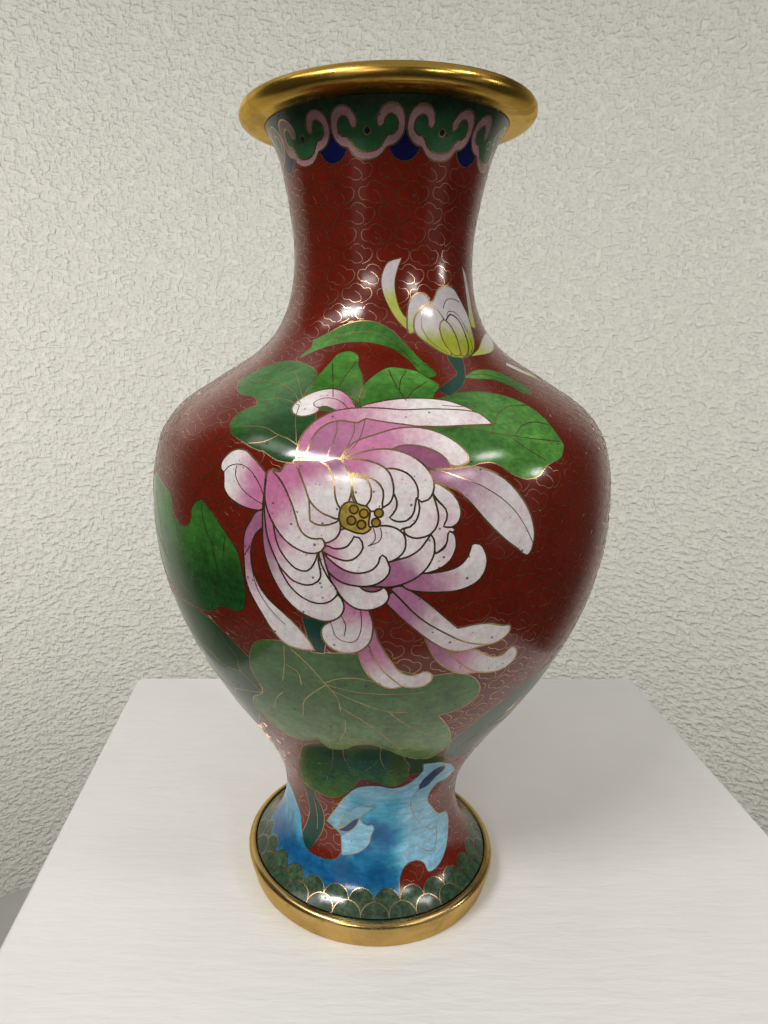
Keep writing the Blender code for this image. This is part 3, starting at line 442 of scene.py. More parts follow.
      (5.5, 150.6), (5.5, 149), (5, 147.4), (4.2, 146.3), (3.3, 145.6), (2.4, 145.1), (0, 143),
      (-5, 142), (-9, 145)],
     BLUSH, PETAL, ((-9, 146.5), (-4, 147))),
    ([(-10.3, 147, 1), (-9, 145.5), (-7.5, 143.9), (-6, 142.8), (-4, 142.1), (-2, 142.3),
      (-0.5, 143.2), (0.5, 144.8), (0.8, 146.3), (1.2, 146.9), (1.9, 146.3), (2.3, 145.2),
      (2.7, 143.8), (2.6, 142.5), (1.8, 140.9), (0.5, 139.6), (-1.5, 138.8), (-4, 138.8),
      (-6, 139.3), (-7.6, 140.4), (-9.3, 142.6), (-10.2, 144.8)],
     MAUVE, PETAL, ((-6, 141.5), (-0.5, 142))),
    ([(-3, 138.55, 1), (-1.5, 138.75), (0.3, 138.8), (1.6, 138.7, 1), (0.8, 137.8), (-0.5, 137.35),
      (-1.8, 137.6)],
     PLUM, PLUM, None),
    ([(-9.4, 148.6), (-8, 148), (-6.5, 148.1), (-5.3, 148.8), (-4.6, 150), (-4.1, 151.2),
      (-3.2, 151), (-2.6, 150), (-2.4, 148.6), (-2.8, 147.3), (-3.6, 146.1), (-4.4, 145.4),
      (-5.4, 145.1), (-7, 145.4), (-8.6, 146.1), (-10.2, 147.1, 1)],
     PINK, PETAL, ((-9, 147), (-4.5, 148.5))),
    ([(-22.4, 165.3), (-22.6, 161), (-22.7, 156), (-22.6, 152), (-22.4, 147), (-22, 144.3),
      (-21.3, 141.5), (-20.3, 138.5), (-19, 135.5), (-17.3, 132.6), (-15, 130.2), (-12.5, 128.8),
      (-10, 128.2), (-8, 128.8), (-6.6, 130.3), (-6, 132), (-6, 133.9), (-6.5, 135.3),
      (-7.3, 136.4), (-9, 142), (-12, 155), (-18, 165)],
     MAUVE, PETAL, ((-22, 148), (-15, 133))),
    ([(-19.1, 142.4), (-18.2, 140), (-17.2, 137.8), (-15.5, 135.5), (-13.5, 133.9), (-11.5, 133.2),
      (-9.8, 133.4), (-8.5, 134.2), (-7.7, 135.2), (-7.2, 136.2), (-9, 140.5), (-10.2, 143.5),
      (-12, 150), (-18, 145)],
     BLUSH, PETAL, ((-18, 141), (-14, 136.5))),
    ([(-22, 160), (-21.9, 152), (-21.4, 149), (-20.8, 147), (-20.1, 145), (-19.3, 143),
      (-18.5, 141.5), (-17.5, 140.2), (-16.5, 139), (-15, 138.2), (-13.5, 137.9), (-12, 138.3),
      (-11, 139.2), (-10.4, 140.7), (-10.5, 142.3), (-10.9, 144.5), (-10.7, 147), (-13, 155)],
     PINK, PETAL, ((-20.5, 149), (-15.5, 141))),
    ([(-21, 160), (-20.1, 152), (-19.8, 150), (-19.2, 147.5), (-18.2, 145.3), (-16.8, 143.3),
      (-15.5, 142), (-14.3, 141.5), (-13.2, 141.6), (-12.3, 142.5), (-11.8, 143.6), (-11, 146.5),
      (-13, 155)],
     PINK, PETAL, ((-19.3, 150), (-14.5, 145))),
    ([(-22.3, 165.6), (-22.5, 163), (-22.5, 160), (-22.1, 157.5), (-21.4, 155.3), (-20.5, 153.3),
      (-19.3, 151.2), (-17.5, 148.8), (-15.2, 147.1), (-13, 146.3), (-11.5, 146.4), (-10.3, 147.1),
      (-9.6, 148.4), (-10, 150), (-12, 155), (-18, 164.5), (-20, 165.8), (-21.2, 166.2)],
     PINK, PETAL, ((-20, 158), (-15, 150))),
    ([(-21.4, 165.9), (-20, 164.4), (-18.3, 162), (-17.2, 159.7), (-16.2, 157.3), (-15.5, 155),
      (-15, 153), (-14.2, 151.4), (-13, 150.3), (-11.5, 150), (-10.2, 150.2), (-9.5, 149.2),
      (-8.8, 149.5), (-7.8, 150.3), (-7, 151.6), (-6.7, 153.4), (-7, 155.2), (-10, 160),
      (-14, 166), (-16, 167.3), (-17.5, 168), (-18.8, 167.4), (-19.6, 165.7)],
     PINK, PETAL, ((-17, 164), (-13.5, 156))),
    ([(-13, 160.5), (-12.85, 157.5), (-12.7, 155), (-12.6, 154.4, 1), (-11.8, 153.8), (-10, 153.5),
      (-8.5, 154), (-7, 155.1), (-8, 158)],
     PETAL, PETAL, None),
    ([(-17.2, 168.4), (-16, 167), (-15, 164.8), (-13.8, 161.8), (-13.1, 159.7), (-12, 158),
      (-10.5, 156.6), (-8.8, 155.8), (-7, 155.3), (-6.6, 157), (-7, 158.5), (-8, 163),
      (-9, 167.5), (-11.2, 169.2), (-14, 169.2)],
     PINK, PETAL, ((-13, 167.5), (-10.5, 161))),
    ([(-11.2, 168.9), (-10, 168), (-9.1, 166.5), (-8.5, 164.8), (-8.2, 163), (-8, 161), (-7.5, 159),
      (-6.8, 157.7), (-5.9, 158.3), (-5.2, 160), (-4.9, 162), (-4.9, 164), (-5.2, 165.8),
      (-5.8, 167), (-6.5, 168.6), (-7.4, 169.8), (-9, 169.8), (-10, 169.5)],
     MAUVE, PETAL, ((-8, 168.5), (-6.8, 164.5))),
]
CENTRE = [
    (-7, 156.8), (-6.6, 158.4), (-5.2, 159.6), (-4, 159.4), (-3, 158.9), (-1.9, 158.7),
    (-1.2, 157.6), (-1.3, 156), (-1.4, 154), (-1, 153.3), (-1.5, 152.6), (-2.4, 152),
    (-3.6, 152.1), (-5, 152.7), (-6.5, 153.6), (-7, 155),
]
BEADS = [
    (-4.3, 157.8), (-2.4, 156.9), (-4.7, 155.1), (-2.8, 154.2), (0.4, 157.1), (-0.1, 154.8),
]
BEAD_RADIUS = 1.05

# Wires that end inside a cell: veins, petal folds and rock lines.
FREE_WIRES = [
    [(-15.2, 185.2), (-15.8, 185.6), (-16.6, 186.2), (-17.05, 187.1), (-16.3, 188.5),
     (-14.6, 189.4), (-12.6, 189.4), (-10.6, 188.6), (-9, 187.2), (-7.8, 185.6)],
    [(-9.6, 180.6), (-9.1, 178), (-9.3, 175), (-9.9, 172), (-10.3, 169.7)],
    [(-5.5, 180.4), (-5.3, 177.5), (-5.9, 174.5), (-6.9, 171.6), (-7.5, 169.9)],
    [(-3.2, 181.6), (-3.4, 178.5), (-4, 175.3), (-5.2, 172.7), (-7.3, 170)],
    [(10, 167.5), (12, 167.2), (14.5, 166.2), (17, 165), (20, 163.5), (22.5, 161.7), (25, 159.5),
     (27.5, 156.6), (29.5, 153.4), (31, 150.4), (32.2, 147.6)],
    [(-33.3, 163.8), (-32.4, 165.2), (-30.6, 166.2), (-28.4, 166.2), (-26.4, 165.1),
     (-24.8, 163.3), (-23.5, 161.2), (-22.5, 158.8)],
    [(-30.1, 165.9), (-30.2, 164), (-29.5, 162.3), (-27.8, 160.2), (-25.6, 158.6), (-23.6, 157.6),
     (-22.3, 157)],
    [(-25.45, 142.4), (-25.2, 140.5), (-24.8, 137.5), (-24.1, 134.5), (-22.8, 131.5),
     (-21.3, 129), (-19.8, 127), (-18.4, 125.6)],
    [(-27.1, 142.8), (-26.4, 144.3), (-25.5, 146)],
    [(-6.5, 130.2), (-5.9, 128.8), (-5.6, 127.2), (-5.8, 125.6), (-6, 124.2)],
    [(-8.7, 128.2), (-8.3, 126.4), (-8, 124.7), (-7.2, 123.3), (-5.9, 122.6), (-4.6, 122.5),
     (-3.6, 123.2), (-3, 124.6), (-2.6, 126.6), (-2.5, 129), (-2.7, 132.6)],
    [(-0.6, 153.6), (-0.2, 152), (-0.2, 150.7), (-0.8, 149.6), (-1.5, 149)],
    [(0.7, 153.6), (1, 152.2), (0.9, 151), (0.3, 150), (-0.6, 149.5), (-1.5, 149)],
    [(35.5, 224.5), (39, 227), (45, 227.3), (50, 226.5)],
    [(37, 222.2), (38.4, 223.4), (43, 223.5), (47, 221.5), (48.5, 217), (45, 211.5), (38, 208)],
    [(22, 223.6), (20.4, 219), (23, 214), (29, 209.4)],
    [(26, 45.5), (23.8, 41), (24.6, 37), (27, 33.5), (30.5, 30), (36, 26.7), (41, 24.2),
     (47.3, 23.2, 1), (46.4, 20), (44, 17, 1), (40, 16.6), (36, 17.8), (30.5, 20.4)],
    [(-64, 26), (-58, 19), (-52, 12)],
    [(-71, 25), (-64, 17), (-58, 11)],
    [(-36.5, 35.5), (-35, 30), (-34.6, 23.5)],
    [(-19.5, 118.6), (-20.5, 111), (-22, 105)],
    [(-18, 118), (-14.5, 113.5), (-11, 107), (-8.5, 102), (-8, 96)],
    [(-11, 107.4), (-8, 109.4), (-4, 110.3), (0, 109.4), (2, 108.4)],
    [(-10.6, 106.6), (-4, 105), (4, 104.6), (12, 105)],
    [(-9.6, 104.6), (-3, 100.6), (3, 97.4), (9, 96.6)],
    [(-10.8, 106.6), (-14, 103), (-17.4, 98), (-19, 91)],
    [(-8.2, 98), (-3, 93), (2, 87), (6, 81), (10, 76)],
    [(-20, 112), (-17.4, 110), (-17, 105)],
    [(-23, 100), (-26, 96), (-28, 91)],
    [(4, 97.2), (8, 92), (13, 87), (19, 83)],
    [(-7, 92), (-7.6, 86), (-10, 80)],
    [(-30.2, 96.1), (-32.9, 99.9), (-35.5, 103.2), (-35, 108), (-38.2, 116.4)],
    [(-35.5, 103.2), (-41.6, 102.4), (-50, 106), (-62, 111)],
    [(-30.4, 96.4), (-37.1, 94.2), (-50, 90), (-62, 92), (-74, 91)],
    [(-43, 92), (-51, 83), (-59, 76)],
    [(-52, 90.2), (-60, 98), (-69, 103)],
    [(32, 70), (40, 79), (50, 86), (60, 90), (70, 90)],
    [(40, 79), (50, 77.6), (60, 76), (66, 72)],
    [(46, 83.6), (52, 91), (58, 98)],
    [(-48, 126), (-55, 132), (-63, 138), (-72, 141)],
    [(-55, 132), (-59, 129.6), (-63, 129.6)],
    [(-58, 134.6), (-60, 144), (-64, 152)],
    [(-13, 74), (-14.5, 66), (-17.5, 58), (-22, 50)],
    [(-14.6, 66), (-18, 62), (-24, 60)],
    [(3, 79), (3.4, 70), (6, 62), (10, 56)],
    [(3.4, 70), (0, 64), (-3, 60)],
    [(-39.2, 154.5), (-38, 149), (-36, 145), (-32.4, 141.4)],
    [(-36, 145), (-34.6, 136), (-36, 129)],
    [(-32.6, 141.4), (-32, 147)],
    [(-50, 149), (-48, 141), (-45, 134)],
    [(-17, 172.8), (-19.6, 174.4), (-22, 175.2), (-26, 177), (-31, 177), (-36, 175.5)],
    [(-22, 175.2), (-24.6, 173.2), (-29, 172)],
    [(-17.2, 173), (-18.2, 176.6), (-19.4, 180), (-20.6, 186)],
    [(-20.8, 186), (-26, 188), (-33, 187)],
    [(-20.8, 187), (-26, 192), (-34, 195), (-43, 194)],
    [(-21, 189), (-26, 196), (-31, 201)],
    [(-18, 205), (-15, 198), (-12.5, 190)],
    [(-9, 206), (-11, 200), (-12, 194)],
    [(3, 202.4), (4.6, 196), (7, 189)],
    [(9, 202), (6.6, 198), (5.6, 193)],
    [(14.6, 197), (10, 193.6), (7.4, 190)],
    [(-28, 213.4), (-20, 215.6), (-10, 217), (0, 216), (8, 211.6), (14, 204)],
    [(31, 199.8), (38, 199.8), (46, 196)],
    [(26, 178), (30, 183), (36, 185.8), (43, 185.2)],
    [(20, 178.6), (27, 176.4), (34, 174.6), (44, 172.4)],
    [(31, 175.4), (34, 178), (38.6, 179.2), (44, 177.6)],
    [(29, 176), (33, 171.4), (37, 168)],
    [(16, 187), (22, 186.4), (27, 188)],
]

# Collar ornament, one half of a head: degrees from its middle, arc length.
RUYI_COUNT = 10
RUYI_FIRST = -8.6
RUYI_HALF = [
    (0, 263.3), (4, 263.6), (7.5, 264.8), (9.6, 266.4), (12.4, 266.8), (15.6, 268.2),
    (17.5, 270.6), (17.4, 273), (15.8, 275.4), (13, 276.7), (9.8, 276.8), (7, 275.8),
    (5.2, 274.2), (4.4, 272.6), (5, 271.3), (6.6, 271), (7.9, 271.8), (8.3, 273), (9.4, 274),
    (11.2, 274.3), (13, 273.6), (14.2, 272), (14, 270.4), (12.2, 269.4), (9.8, 269.2),
    (8.2, 268.2), (6.6, 266.6), (3.8, 265.6), (0, 265.3),
]
RUYI_FILL = [
    (0, 264.8), (4, 265), (8, 267.5), (13, 268.8), (15, 271), (13.5, 274.5), (11, 275),
    (8, 273.5), (5, 274.5), (3, 275.4), (0, 275.8),
]
LOBE_HALF = [(0, 262.9), (3.6, 263.4), (6.6, 265), (8.4, 267.4), (6, 271), (0, 272.4)]
# Painted shadow of the rim: the green filling turns to the dark collar green between these arc
# lengths, towards the rim.
FILL_RIM_SHADOW = (272.0, 276.0)    # the green filling darkens between these
DOT_RADIUS = 1.0
DOT_S = 270.3

# Scales of the foot border.
SCALE_COUNT = 28
SCALE_FIRST = -9.5          # angle of a valley
SCALE_HALF = [(6.43, 0.0), (5.9, 1.5), (4.4, 2.9), (2.3, 3.8), (0.0, 4.1)]


# ---------------------------------------------------------------- chart
def catmull_rom(p0, p1, p2, p3, t):
    """Point on the smooth curve from p1 to p2."""
    found = []
    for a, b, c, d in zip(p0, p1, p2, p3):
        value = 2 * b + (c - a) * t + (2 * a - 5 * b + 4 * c - d) * t * t
        value += (3 * b - a - 3 * c + d) * t ** 3
        found.append(value / 2)
    return found


def profile_table():
    """Arrays of arc length, radius, height and outward normal along the profile."""
    rows = []
    last = len(PROFILE) - 1
    for i in range(last):
        before = PROFILE[max(i - 1, 0)]
        after = PROFILE[min(i + 2, last)]
        for k in range(STEPS_PER_SPAN):
            rows.append(catmull_rom(before, PROFILE[i], PROFILE[i + 1], after, k / STEPS_PER_SPAN))
    rows.append(list(PROFILE[last]))
    rz = np.array(rows)
    steps = np.hypot(*np.diff(rz, axis=0).T)
    s = np.concatenate([[0.0], np.cumsum(steps)])
    slope = np.gradient(rz, s, axis=0)
    window = np.ones(NORMAL_WINDOW) / NORMAL_WINDOW
    ends = NORMAL_WINDOW // 2
    smooth = [np.convolve(np.pad(slope[:, k], ends, mode="edge"), window, "valid") for k in (0, 1)]
    length = np.hypot(*smooth)
    return s, rz[:, 0], rz[:, 1], smooth[1] / length, -smooth[0] / length


TABLE_S, TABLE_R, TABLE_Z, TABLE_NR, TABLE_NZ = profile_table()
S_RIM = TABLE_S[-1] - S_RIM_TRIM


def on_wall(theta, s, lift=0.0):
    """Points in metres and unit normals for chart angles and arc lengths."""
    theta = np.radians(np.asarray(theta, float))
    s = np.asarray(s, float)
    nr = np.interp(s, TABLE_S, TABLE_NR)
    nz = np.interp(s, TABLE_S, TABLE_NZ)
    r = np.interp(s, TABLE_S, TABLE_R) + nr * lift
    z = np.interp(s, TABLE_S, TABLE_Z) + nz * lift
    sin, cos = np.sin(theta), np.cos(theta)
    points = np.stack([r * sin, -r * cos, z], axis=-1) * MM
    normals = np.stack([nr * sin, -nr * cos, nz], axis=-1)
    return points, normals


def degree_length(s):
    """Millimetres along the wall for one degree at arc length s."""
    return math.radians(float(np.interp(s, TABLE_S, TABLE_R)))


def gap(a, b):
    """Millimetres along the wall between two chart points."""
    return math.hypot((b[0] - a[0]) * degree_length((a[1] + b[1]) / 2), b[1] - a[1])


def knot_slope(p0, p1, p2):
    """Tangent at p1, per millimetre, weighted towards the nearer neighbour."""
    d01, d12 = max(gap(p0, p1), 1e-6), max(gap(p1, p2), 1e-6)
    found = []
    for k in (0, 1):
        before = (p1[k] - p0[k]) / d01
        after = (p2[k] - p1[k]) / d12
        found.append((before * d12 + after * d01) / (d01 + d12))
    return found


def curve(points, closed=False, step=OUTLINE_STEP):
    """Points along the smooth line through chart points."""
    count = len(points)
    spans = count if closed else count - 1
    found = []
    for i in range(spans):
        p1, p2 = points[i], points[(i + 1) % count]
        length = gap(p1, p2)
        chord = [(p2[k] - p1[k]) / max(length, 1e-6) for k in (0, 1)]
        start_free = len(p1) > 2 or (not closed and i == 0)
        end_free = len(p2) > 2 or (not closed and i == spans - 1)
        m1 = chord if start_free else knot_slope(points[i - 1], p1, p2)
        m2 = chord if end_free else knot_slope(p1, p2, points[(i + 2) % count])
        parts = max(1, round(length / step))
        for j in range(parts):
            t = j / parts
            h1, h2 = 2 * t ** 3 - 3 * t ** 2 + 1, t ** 3 - 2 * t ** 2 + t
            h3, h4 = 3 * t ** 2 - 2 * t ** 3, t ** 3 - t ** 2
            found.append(tuple(
                h1 * p1[k] + h2 * length * m1[k] + h3 * p2[k] + h4 * length * m2[k]
                for k in (0, 1)
            ))
    if not closed:
        found.append(tuple(points[-1][:2]))
    return found


def wrap(angle):
    """Angle, or array of angles, brought to -180 to 180 degrees."""
    return (angle + 180.0) % 360.0 - 180.0


def mirrored(half, centre):
    """Closed outline from one half, mirrored about its own middle."""
    right = [(centre + a, s) for a, s in half]
    left = [(centre - a, s) for a, s in reversed(half) if a > 0]
    return right + left


def circle(angle, s, radius, parts=12):
    """Closed outline, round on the wall, about a chart point."""
    scale = 1.0 / degree_length(s)
    found = []
    for k in range(parts):
        a = math.tau * k / parts
        found.append((angle + radius * scale * math.cos(a), s + radius * math.sin(a)))
    return found


def band(low, high):
    """Strip all round the vase, its long edges divided finely."""
    bottom = [(-180.0 + 360.0 * k / BAND_PARTS, low) for k in range(BAND_PARTS + 1)]
    top = [(180.0 - 360.0 * k / BAND_PARTS, high) for k in range(BAND_PARTS + 1)]
    return bottom + top


class Cell:
    """One coloured field of the picture."""

    def __init__(self, piece, line, first, second=None, span=None, group=None):
        self.piece = piece
        self.line = anticlockwise(line)
        self.first = first
        self.second = first if second is None else second
        self.span = span
        self.group = group          # cells that share this have no wire between them

    def colours(self, theta, s):
        if isinstance(self.first, str):
            return rock_colours(theta, s)
        blend = np.zeros_like(theta)
        if self.span is not None:
            (a0, s0), (a1, s1) = self.span
            scale = degree_length((s0 + s1) / 2)
            dx, dy = (a1 - a0) * scale, s1 - s0
            along = ((theta - a0) * scale * dx + (s - s0) * dy) / (dx * dx + dy * dy)
            along = along + 0.10 * np.sin(theta * 1.7 + s * 0.9) * np.sin(s * 0.55 - theta * 0.6)
            blend = smoothstep(along)
        return self.first + (self.second - self.first) * blend[:, None]


def smoothstep(t):
    t = np.clip(t, 0.0, 1.0)
    return t * t * (3.0 - 2.0 * t)


def ramp(value, start, width):
    """0 below start, 1 beyond start + width, smooth between."""
    return smoothstep((value - start) / width)


def rock_colours(theta, s):
    """Turquoise, icy along the top and the right horn, deep blue pools below."""
    ripple = 1.6 * np.sin(theta * 0.31 + 1.0) + 1.0 * np.sin(theta * 0.83 + s * 0.4)
    bank = theta + 2.5 * np.sin(s * 0.42) + 1.2 * np.sin(s * 1.3)
    icy = np.maximum(ramp(s + ripple, ROCK_ICE_LEVEL, 8.0), ramp(bank, ROCK_HORN, 7.0))
    bulge = ramp(-bank, ROCK_BULGE_LEFT, 7.0) * ramp(s, ROCK_BULGE_LEVEL, 5.0)
    icy = np.maximum(icy, bulge * (theta > -ROCK_BULGE_END))
    left_hill = ramp(-theta, ROCK_HILL_LEFT, 8.0)
    icy = np.maximum(icy, 0.85 * left_hill * ramp(s + ripple, ROCK_HILL_LEVEL, 16.0))
    colour = TURQUOISE + (ICE - TURQUOISE) * icy[:, None]
    brush = 0.5 + 0.5 * np.sin(s * 2.3 + 0.9 * np.sin(theta * 0.35))
    middle = ramp(bank, -10.0, 6.0)
    limit = ROCK_POOL_LEVEL + ROCK_POOL_RISE * middle + ripple
    pool = ramp(limit - s, 0.0, 5.0) * (1.0 - ramp(bank, ROCK_POOL_END, 7.0))
    pool = pool * (0.70 + 0.30 * brush)
    colour = colour + (DEEP - colour) * pool[:, None]
    return colour


def anticlockwise(line):
    """The outline without corner marks, turned anticlockwise if it isn't."""
    line = [tuple(p[:2]) for p in line]
    area = sum(a[0] * b[1] - b[0] * a[1] for a, b in zip(line, line[1:] + line[:1]))
    return line if area > 0 else line[::-1]


def all_cells():
    """Every cell of the vase, bottom layer first."""
    cells = [
        Cell("ground_red", band(S_FOOT, S_COLLAR), RED),
        Cell("collar_ground", band(S_COLLAR, S_RIM), COLLAR, group="collar"),
    ]
    for outline, first, second, span in ROCK:
        cells.append(Cell("rock", curve(outline, True), first, second, span))
    for name, outline, first, second, span in LEAVES + BUD:
        cells.append(Cell(name, curve(outline, True), first, second, span))
    for outline, first, second, span in FLOWER:
        cells.append(Cell("chrysanthemum", curve(outline, True), first, second, span))
    cells.append(Cell("flower_centre", curve(CENTRE, True), OCHRE))
    for angle, s in BEADS:
        cells.append(Cell("flower_centre", circle(angle, s, BEAD_RADIUS), OCHRE_DARK))
    cells += border_cells() + collar_cells()
    return cells


def border_cells():
    """Two staggered rows of scales round the foot."""
    cells = []
    step = 360.0 / SCALE_COUNT
    for row, (shift, base, colour) in enumerate([(0.5, S_BORDER, SCALE), (0.0, 1.0, SCALE_LOW)]):
        for k in range(SCALE_COUNT):
            centre = wrap(SCALE_FIRST + (k + shift) * step)
            top = curve([(a, base + h) for a, h in SCALE_HALF], step=0.8)
            half = [(0.0, S_FOOT)] + [(step / 2, S_FOOT)] + top
            cells.append(Cell("scale_border", mirrored(half, centre)[1:], colour))
    return cells


def collar_cells():
    """Navy lobes, and over them the ruyi heads with their filling and dot."""
    cells = []
    step = 360.0 / RUYI_COUNT
    for k in range(RUYI_COUNT):
        middle = wrap(RUYI_FIRST + (k + 0.5) * step)
        cells.append(Cell("navy_lobes", curve(mirrored(LOBE_HALF, middle), True), NAVY))
    for k in range(RUYI_COUNT):
        middle = wrap(RUYI_FIRST + k * step)
        fill = curve(mirrored(RUYI_FILL, middle), True)
        # The filling fades to the collar green towards the rim: painted shadow of the rim.
        cells.append(Cell("ruyi_heads", fill, EMERALD, COLLAR,
                          ((middle, FILL_RIM_SHADOW[0]), (middle, FILL_RIM_SHADOW[1])), group="collar"))
        cells.append(Cell("ruyi_heads", curve(mirrored(RUYI_HALF, middle), True), BAND))
        cells.append(Cell("ruyi_heads", circle(middle, DOT_S, DOT_RADIUS), NAVY_DARK))
    return cells


def copies(line):
    """The line, and a turned copy where it crosses the back seam."""
    found = []
    for turn in (-360.0, 0.0, 360.0):
        moved = [(a + turn, s) for a, s in line]
        if min(a for a, _ in moved) < 180.0 and max(a for a, _ in moved) > -180.0:
            found.append(moved)
    return found


def grid_points():
    """Staggered points inside the cells; both ends of a row lie on the seam."""
    found = []
    rows = int(S_RIM / GRID_FRONT)
    for row in range(1, rows):
        s = S_RIM * row / rows
        fine = GRID_FRONT / degree_length(s)
        coarse = GRID_BACK / degree_length(s)
        angle = -180.0
        while angle < 180.0 - 0.5 * coarse:
            shift = 0.0 if angle == -180.0 or row % 2 else 0.5 * fine
            found.append((angle + shift, s))
            angle += fine if abs(angle) < FRONT_HALF_WIDTH else coarse
        found.append((180.0, s))
    return found


def triangulate(cells):
    """Chart points, triangles and the topmost cell of each triangle."""
    points, polygons, owner_of = [], [], []
    for owner, cell in enumerate(cells):
        for moved in copies(cell.line):
            start = len(points)
            points += moved
            polygons.append(list(range(start, len(points))))
            owner_of.append(owner)
    points += grid_points()
    out = delaunay_2d_cdt([Vector(p) for p in points], [], polygons, 0, 1e-4)
    chart = np.array([tuple(p) for p in out[0]])
    triangles, owners = [], []
    for face, origin in zip(out[2], out[5]):
        if origin and abs(chart[list(face), 0].mean()) < 180.0:
            triangles.append(face)
            owners.append(max(owner_of[k] for k in origin))
    triangles = np.array(triangles)
    swap = np.arange(len(chart))
    left = np.where(chart[:, 0] < -179.999)[0]
    for i in np.where(chart[:, 0] > 179.999)[0]:
        swap[i] = left[np.argmin(abs(chart[left, 1] - chart[i, 1]))]
    triangles = swap[triangles]
    keep = (triangles[:, 0] != triangles[:, 1]) & (triangles[:, 1] != triangles[:, 2])
    keep &= triangles[:, 0] != triangles[:, 2]
    triangles, owners = triangles[keep], np.array(owners)[keep]
    a, b, c = (chart[triangles[:, k]] for k in range(3))
    ab, ac = b - a, c - a
    ab[:, 0], ac[:, 0] = wrap(ab[:, 0]), wrap(ac[:, 0])
    clockwise = ab[:, 0] * ac[:, 1] - ab[:, 1] * ac[:, 0] < 0
    triangles[clockwise] = triangles[clockwise][:, ::-1]
    return chart, triangles, owners


# ---------------------------------------------------------------- meshes
def link(name, mesh, mat, replaced=()):
    """Put a finished mesh in the scene as a piece that rides on the vase."""
    mesh.materials.append(mat)
    made = bpy.data.objects.new(name, mesh)
    bpy.context.scene.collection.objects.link(made)
    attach(made, "root")
    if replaced:
        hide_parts(*replaced)
    return made


def mesh_from(name, points, faces, normals=None, corner_colours=None):
    """Mesh with given corner normals (one row per face corner) and paint."""
    mesh = bpy.data.meshes.new(name)
    mesh.from_pydata([tuple(p) for p in points], [], [tuple(int(i) for i in f) for f in faces])
    mesh.polygons.foreach_set("use_smooth", [True] * len(mesh.polygons))
    if corner_colours is not None:
        layer = mesh.color_attributes.new(name="paint", type="FLOAT_COLOR", domain="CORNER")
        rgba = np.ones((len(corner_colours), 4))
        rgba[:, :3] = corner_colours
        layer.data.foreach_set("color", rgba.ravel())
    if normals is not None:
        mesh.normals_split_custom_set([tuple(n) for n in normals])
    return mesh


def plate(name, chart, triangles, owners, cells):
    """Closed curved plate with painted top over chart triangles."""
    used, where = np.unique(triangles, return_inverse=True)
    tops = where.reshape(triangles.shape)
    theta, s = chart[used, 0], chart[used, 1]
    top, up = on_wall(theta, s)
    under, _ = on_wall(theta, s, -ENAMEL_THICKNESS)
    count = len(used)
    borders = border_edges(tops)
    faces = [tuple(t) for t in tops] + [tuple(t[::-1] + count) for t in tops]
    faces += [(a, a + count, b + count, b) for a, b in borders]
    colours = np.zeros((len(tops), 3, 3))
    for owner in np.unique(owners):
        mine = owners == owner
        corners = triangles[mine].ravel()
        colour = cells[owner].colours(chart[corners, 0], chart[corners, 1])
        colours[mine] = colour.reshape(-1, 3, 3)
    # The sides and back carry painted shade: the top's paint times the factor above.
    side_colours, side_normals = [], []
    first_colour = colours.reshape(-1, 3)[0] * SIDE_AND_BACK_PAINTED_SHADE
    for a, b in borders:
        along = top[b] - top[a]
        out = np.cross(along, up[a])
        out = out / max(np.linalg.norm(out), 1e-12)
        side_normals += [out] * 4
        side_colours += [first_colour] * 4
    normals = list(up[tops].reshape(-1, 3)) + list(-up[tops[:, ::-1]].reshape(-1, 3))
    all_colours = list(colours.reshape(-1, 3)) + list(colours[:, ::-1].reshape(-1, 3) * SIDE_AND_BACK_PAINTED_SHADE)
    return mesh_from(name, np.concatenate([top, under]), faces, normals + side_normals,
                     np.array(all_colours + side_colours))


def border_edges(triangles):
    """Directed edges that only one triangle uses."""
    used = set()
    for t in triangles:
        t = [int(i) for i in t]
        used.update([(t[0], t[1]), (t[1], t[2]), (t[2], t[0])])
    return sorted(e for e in used if (e[1], e[0]) not in used)


def wire_edges(triangles, owners, cells):
    """Edges between different cells: those round petals, and all others."""
    owner_at = {}
    for t, owner in zip(triangles, owners):
        t = [int(i) for i in t]
        for edge in ((t[0], t[1]), (t[1], t[2]), (t[2], t[0])):
            owner_at[edge] = owner
    heavy, light = {}, {}
    for (a, b), owner in owner_at.items():
        other = owner_at.get((b, a))
        if other is None or other == owner:
            continue
        if cells[owner].group is not None and cells[owner].group == cells[other].group:
            continue
        pieces = {cells[owner].piece, cells[other].piece}
        kind = heavy if pieces & HEAVY_WIRE_PIECES else light
        kind.setdefault(a, set()).add(b)
    return heavy, light


def wire_chains(chart, neighbours):
    """Lines of edges, cut at the points where they meet."""
    chains = []
    seen = set()
    starts = [i for i in sorted(neighbours) if len(neighbours[i]) != 2]
    for start in starts + sorted(neighbours):
        for follow in sorted(neighbours[start]):
            if (start, follow) in seen:
                continue
            chain = [start, follow]
            seen.update([(start, follow), (follow, start)])
            while len(neighbours[chain[-1]]) == 2 and chain[-1] != start:
                ahead = [i for i in neighbours[chain[-1]] if i != chain[-2]]
                if not ahead or (chain[-1], ahead[0]) in seen:
                    break
                seen.update([(chain[-1], ahead[0]), (ahead[0], chain[-1])])
                chain.append(ahead[0])
            chains.append([tuple(chart[i]) for i in chain])
    return chains


